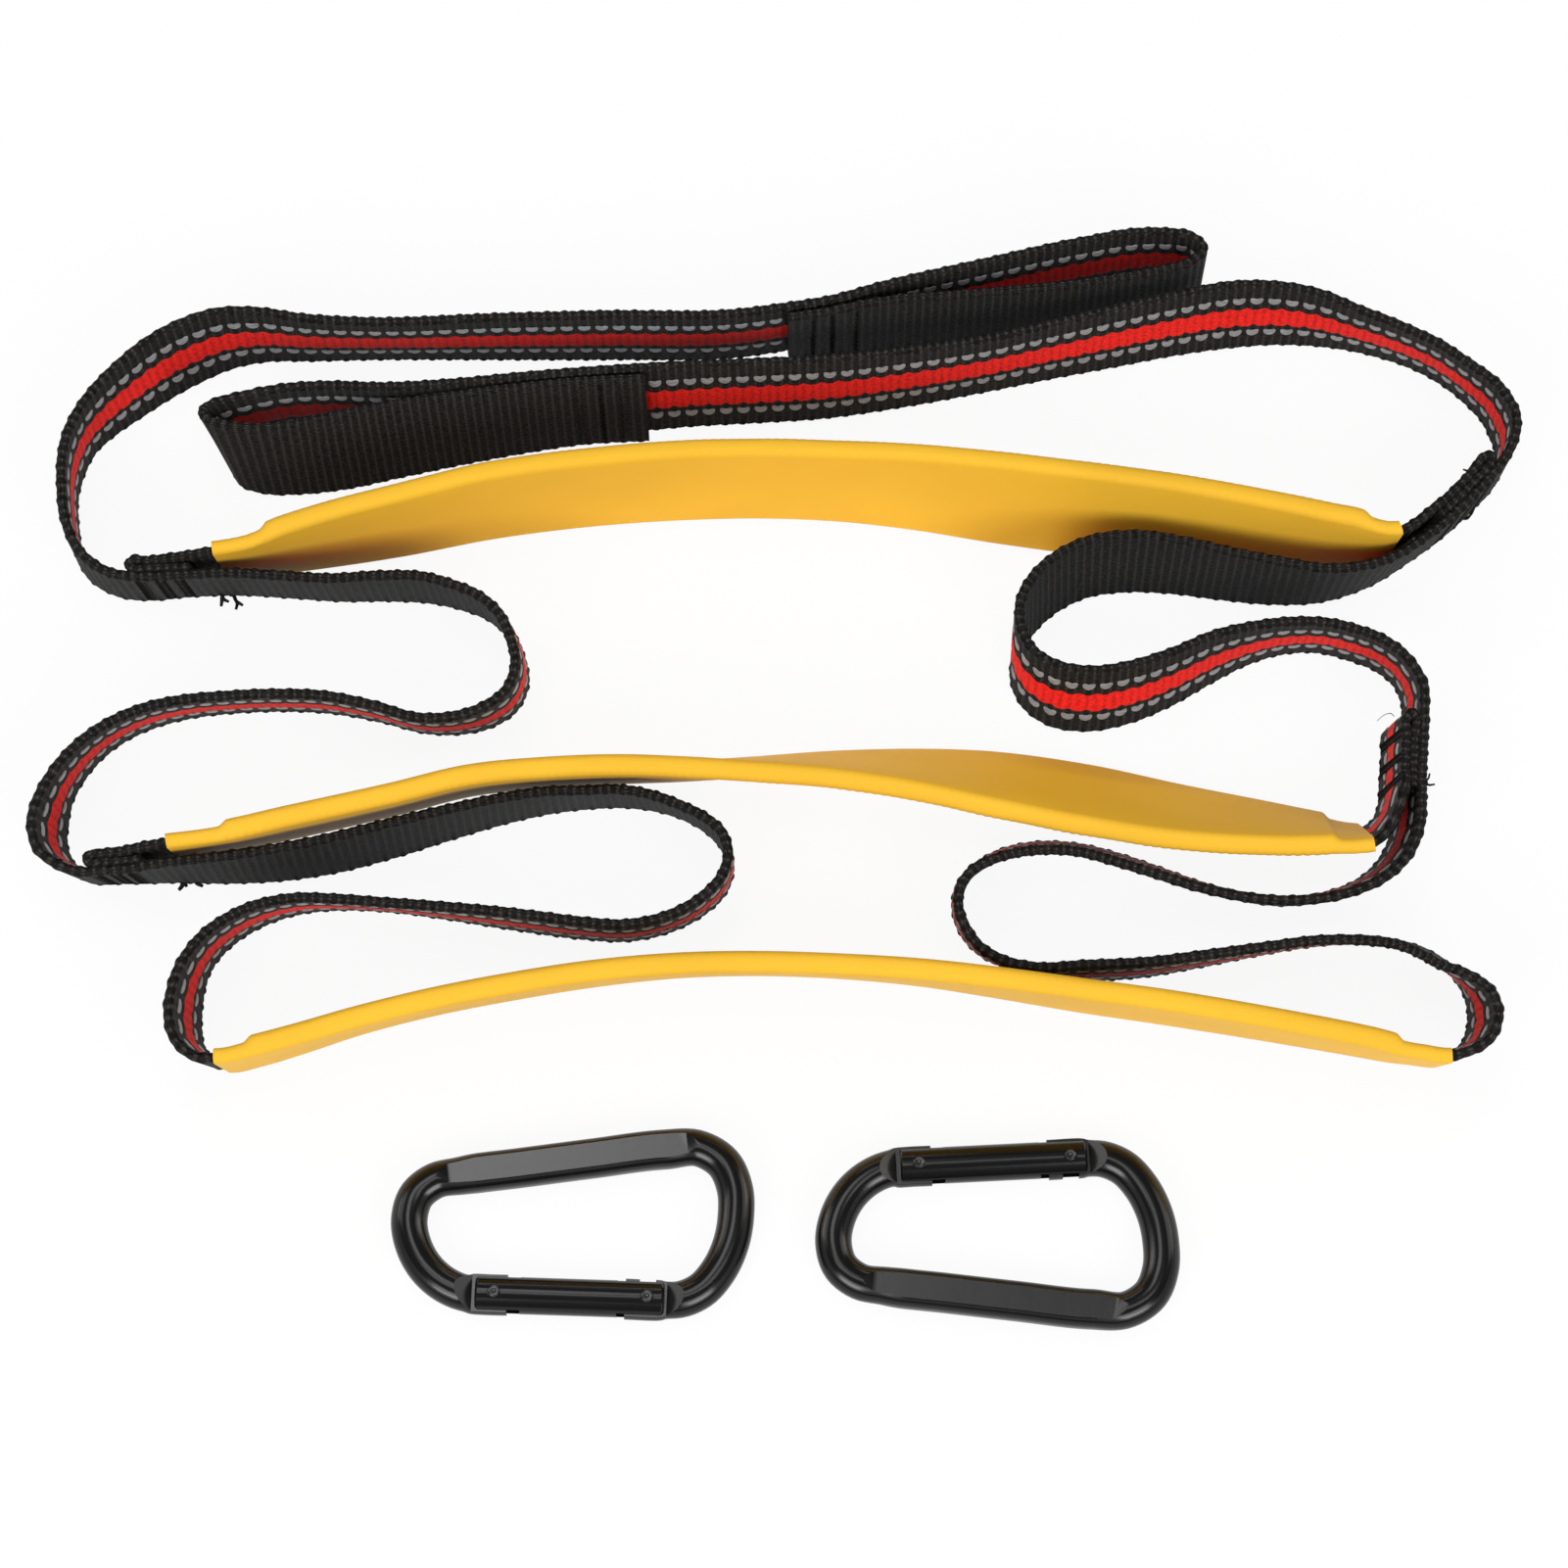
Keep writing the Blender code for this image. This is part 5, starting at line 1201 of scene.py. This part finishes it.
def make_floor():
    """A white floor that keeps soft shadows and shows white to the camera and in reflections."""
    data = bpy.data.meshes.new("floor")
    corners = [(x * FLOOR_HALF, y * FLOOR_HALF, 0.0) for x, y in ((-1, -1), (1, -1), (1, 1), (-1, 1))]
    data.from_pydata(corners, [], [(0, 1, 2, 3)])
    floor = bpy.data.objects.new("floor", data)
    floor.location.z = -FLOOR_DROP
    bpy.context.scene.collection.objects.link(floor)
    grey = (FLOOR_GREY,) * 3
    made = Shader("white_floor", grey, 1.0)
    made.tree.nodes.remove(made.principled)
    diffuse = made.node("BsdfDiffuse", {"Color": (*grey, 1.0)})
    glow = made.node("Emission")
    path = made.node("LightPath")
    seen = made.maths("MAXIMUM", (path, "Is Camera Ray"), (path, "Is Glossy Ray"))
    seen = made.maths("MAXIMUM", (seen, "Value"), (path, "Is Transmission Ray"))
    share = made.maths("MULTIPLY", (seen, "Value"), FLOOR_GLOW)
    mixed = made.node("MixShader")
    made.link(share, "Value", mixed, "Fac")
    made.link(diffuse, "BSDF", mixed, 1)
    made.link(glow, "Emission", mixed, 2)
    made.link(mixed, "Shader", made.tree.nodes["Material Output"], "Surface")
    data.materials.append(made.material)


def add_area_light(name, location, target, size, energy):
    """A soft light of a width and height that faces a point."""
    lamp = bpy.data.lights.new(name, "AREA")
    lamp.shape = "RECTANGLE"
    lamp.size, lamp.size_y = size
    lamp.energy = energy
    made = bpy.data.objects.new(name, lamp)
    made.location = location
    made.rotation_euler = (Vector(target) - Vector(location)).to_track_quat("-Z", "Y").to_euler()
    bpy.context.scene.collection.objects.link(made)


def make_stage():
    """Floor, soft light, plain white surroundings and the camera at the photo's angle."""
    scene = bpy.context.scene
    scene.view_settings.view_transform = "Standard"
    make_floor()
    for light in LIGHTS:
        add_area_light(*light)
    world = bpy.data.worlds.new("surroundings")
    world.use_nodes = True
    background = world.node_tree.nodes["Background"]
    background.inputs["Color"].default_value = (1.0, 1.0, 1.0, 1.0)
    background.inputs["Strength"].default_value = WORLD_LIGHT
    scene.world = world

    lens = bpy.data.cameras.new("camera")
    lens.lens = CAMERA_LENS
    lens.clip_start = CAMERA_NEAREST
    camera = bpy.data.objects.new("camera", lens)
    target = Vector((*LAYOUT_SHIFT, 0.0))
    away = Vector((0.0, -math.cos(CAMERA_ELEVATION), math.sin(CAMERA_ELEVATION)))
    camera.location = target + away * CAMERA_DISTANCE
    camera.rotation_euler = (-away).to_track_quat("-Z", "Y").to_euler()
    scene.collection.objects.link(camera)
    scene.camera = camera


make_stage()
MAIN, UPPER, MIDDLE = make_routes()
make_all_webbing(MAIN, UPPER, MIDDLE)
make_sewing(MAIN, UPPER, MIDDLE)
for thread in LOOSE_THREADS:
    make_thread(*thread)
for step_name, step_route, step_sleeve in (("upper", UPPER, UPPER_SLEEVE), ("middle", MIDDLE, MIDDLE_SLEEVE),
                                           ("lower", MAIN, LOWER_SLEEVE)):
    make_sleeve(step_name, step_route, step_sleeve[2:])
for link in LINKS:
    make_link(*link)
finish_carried_over()
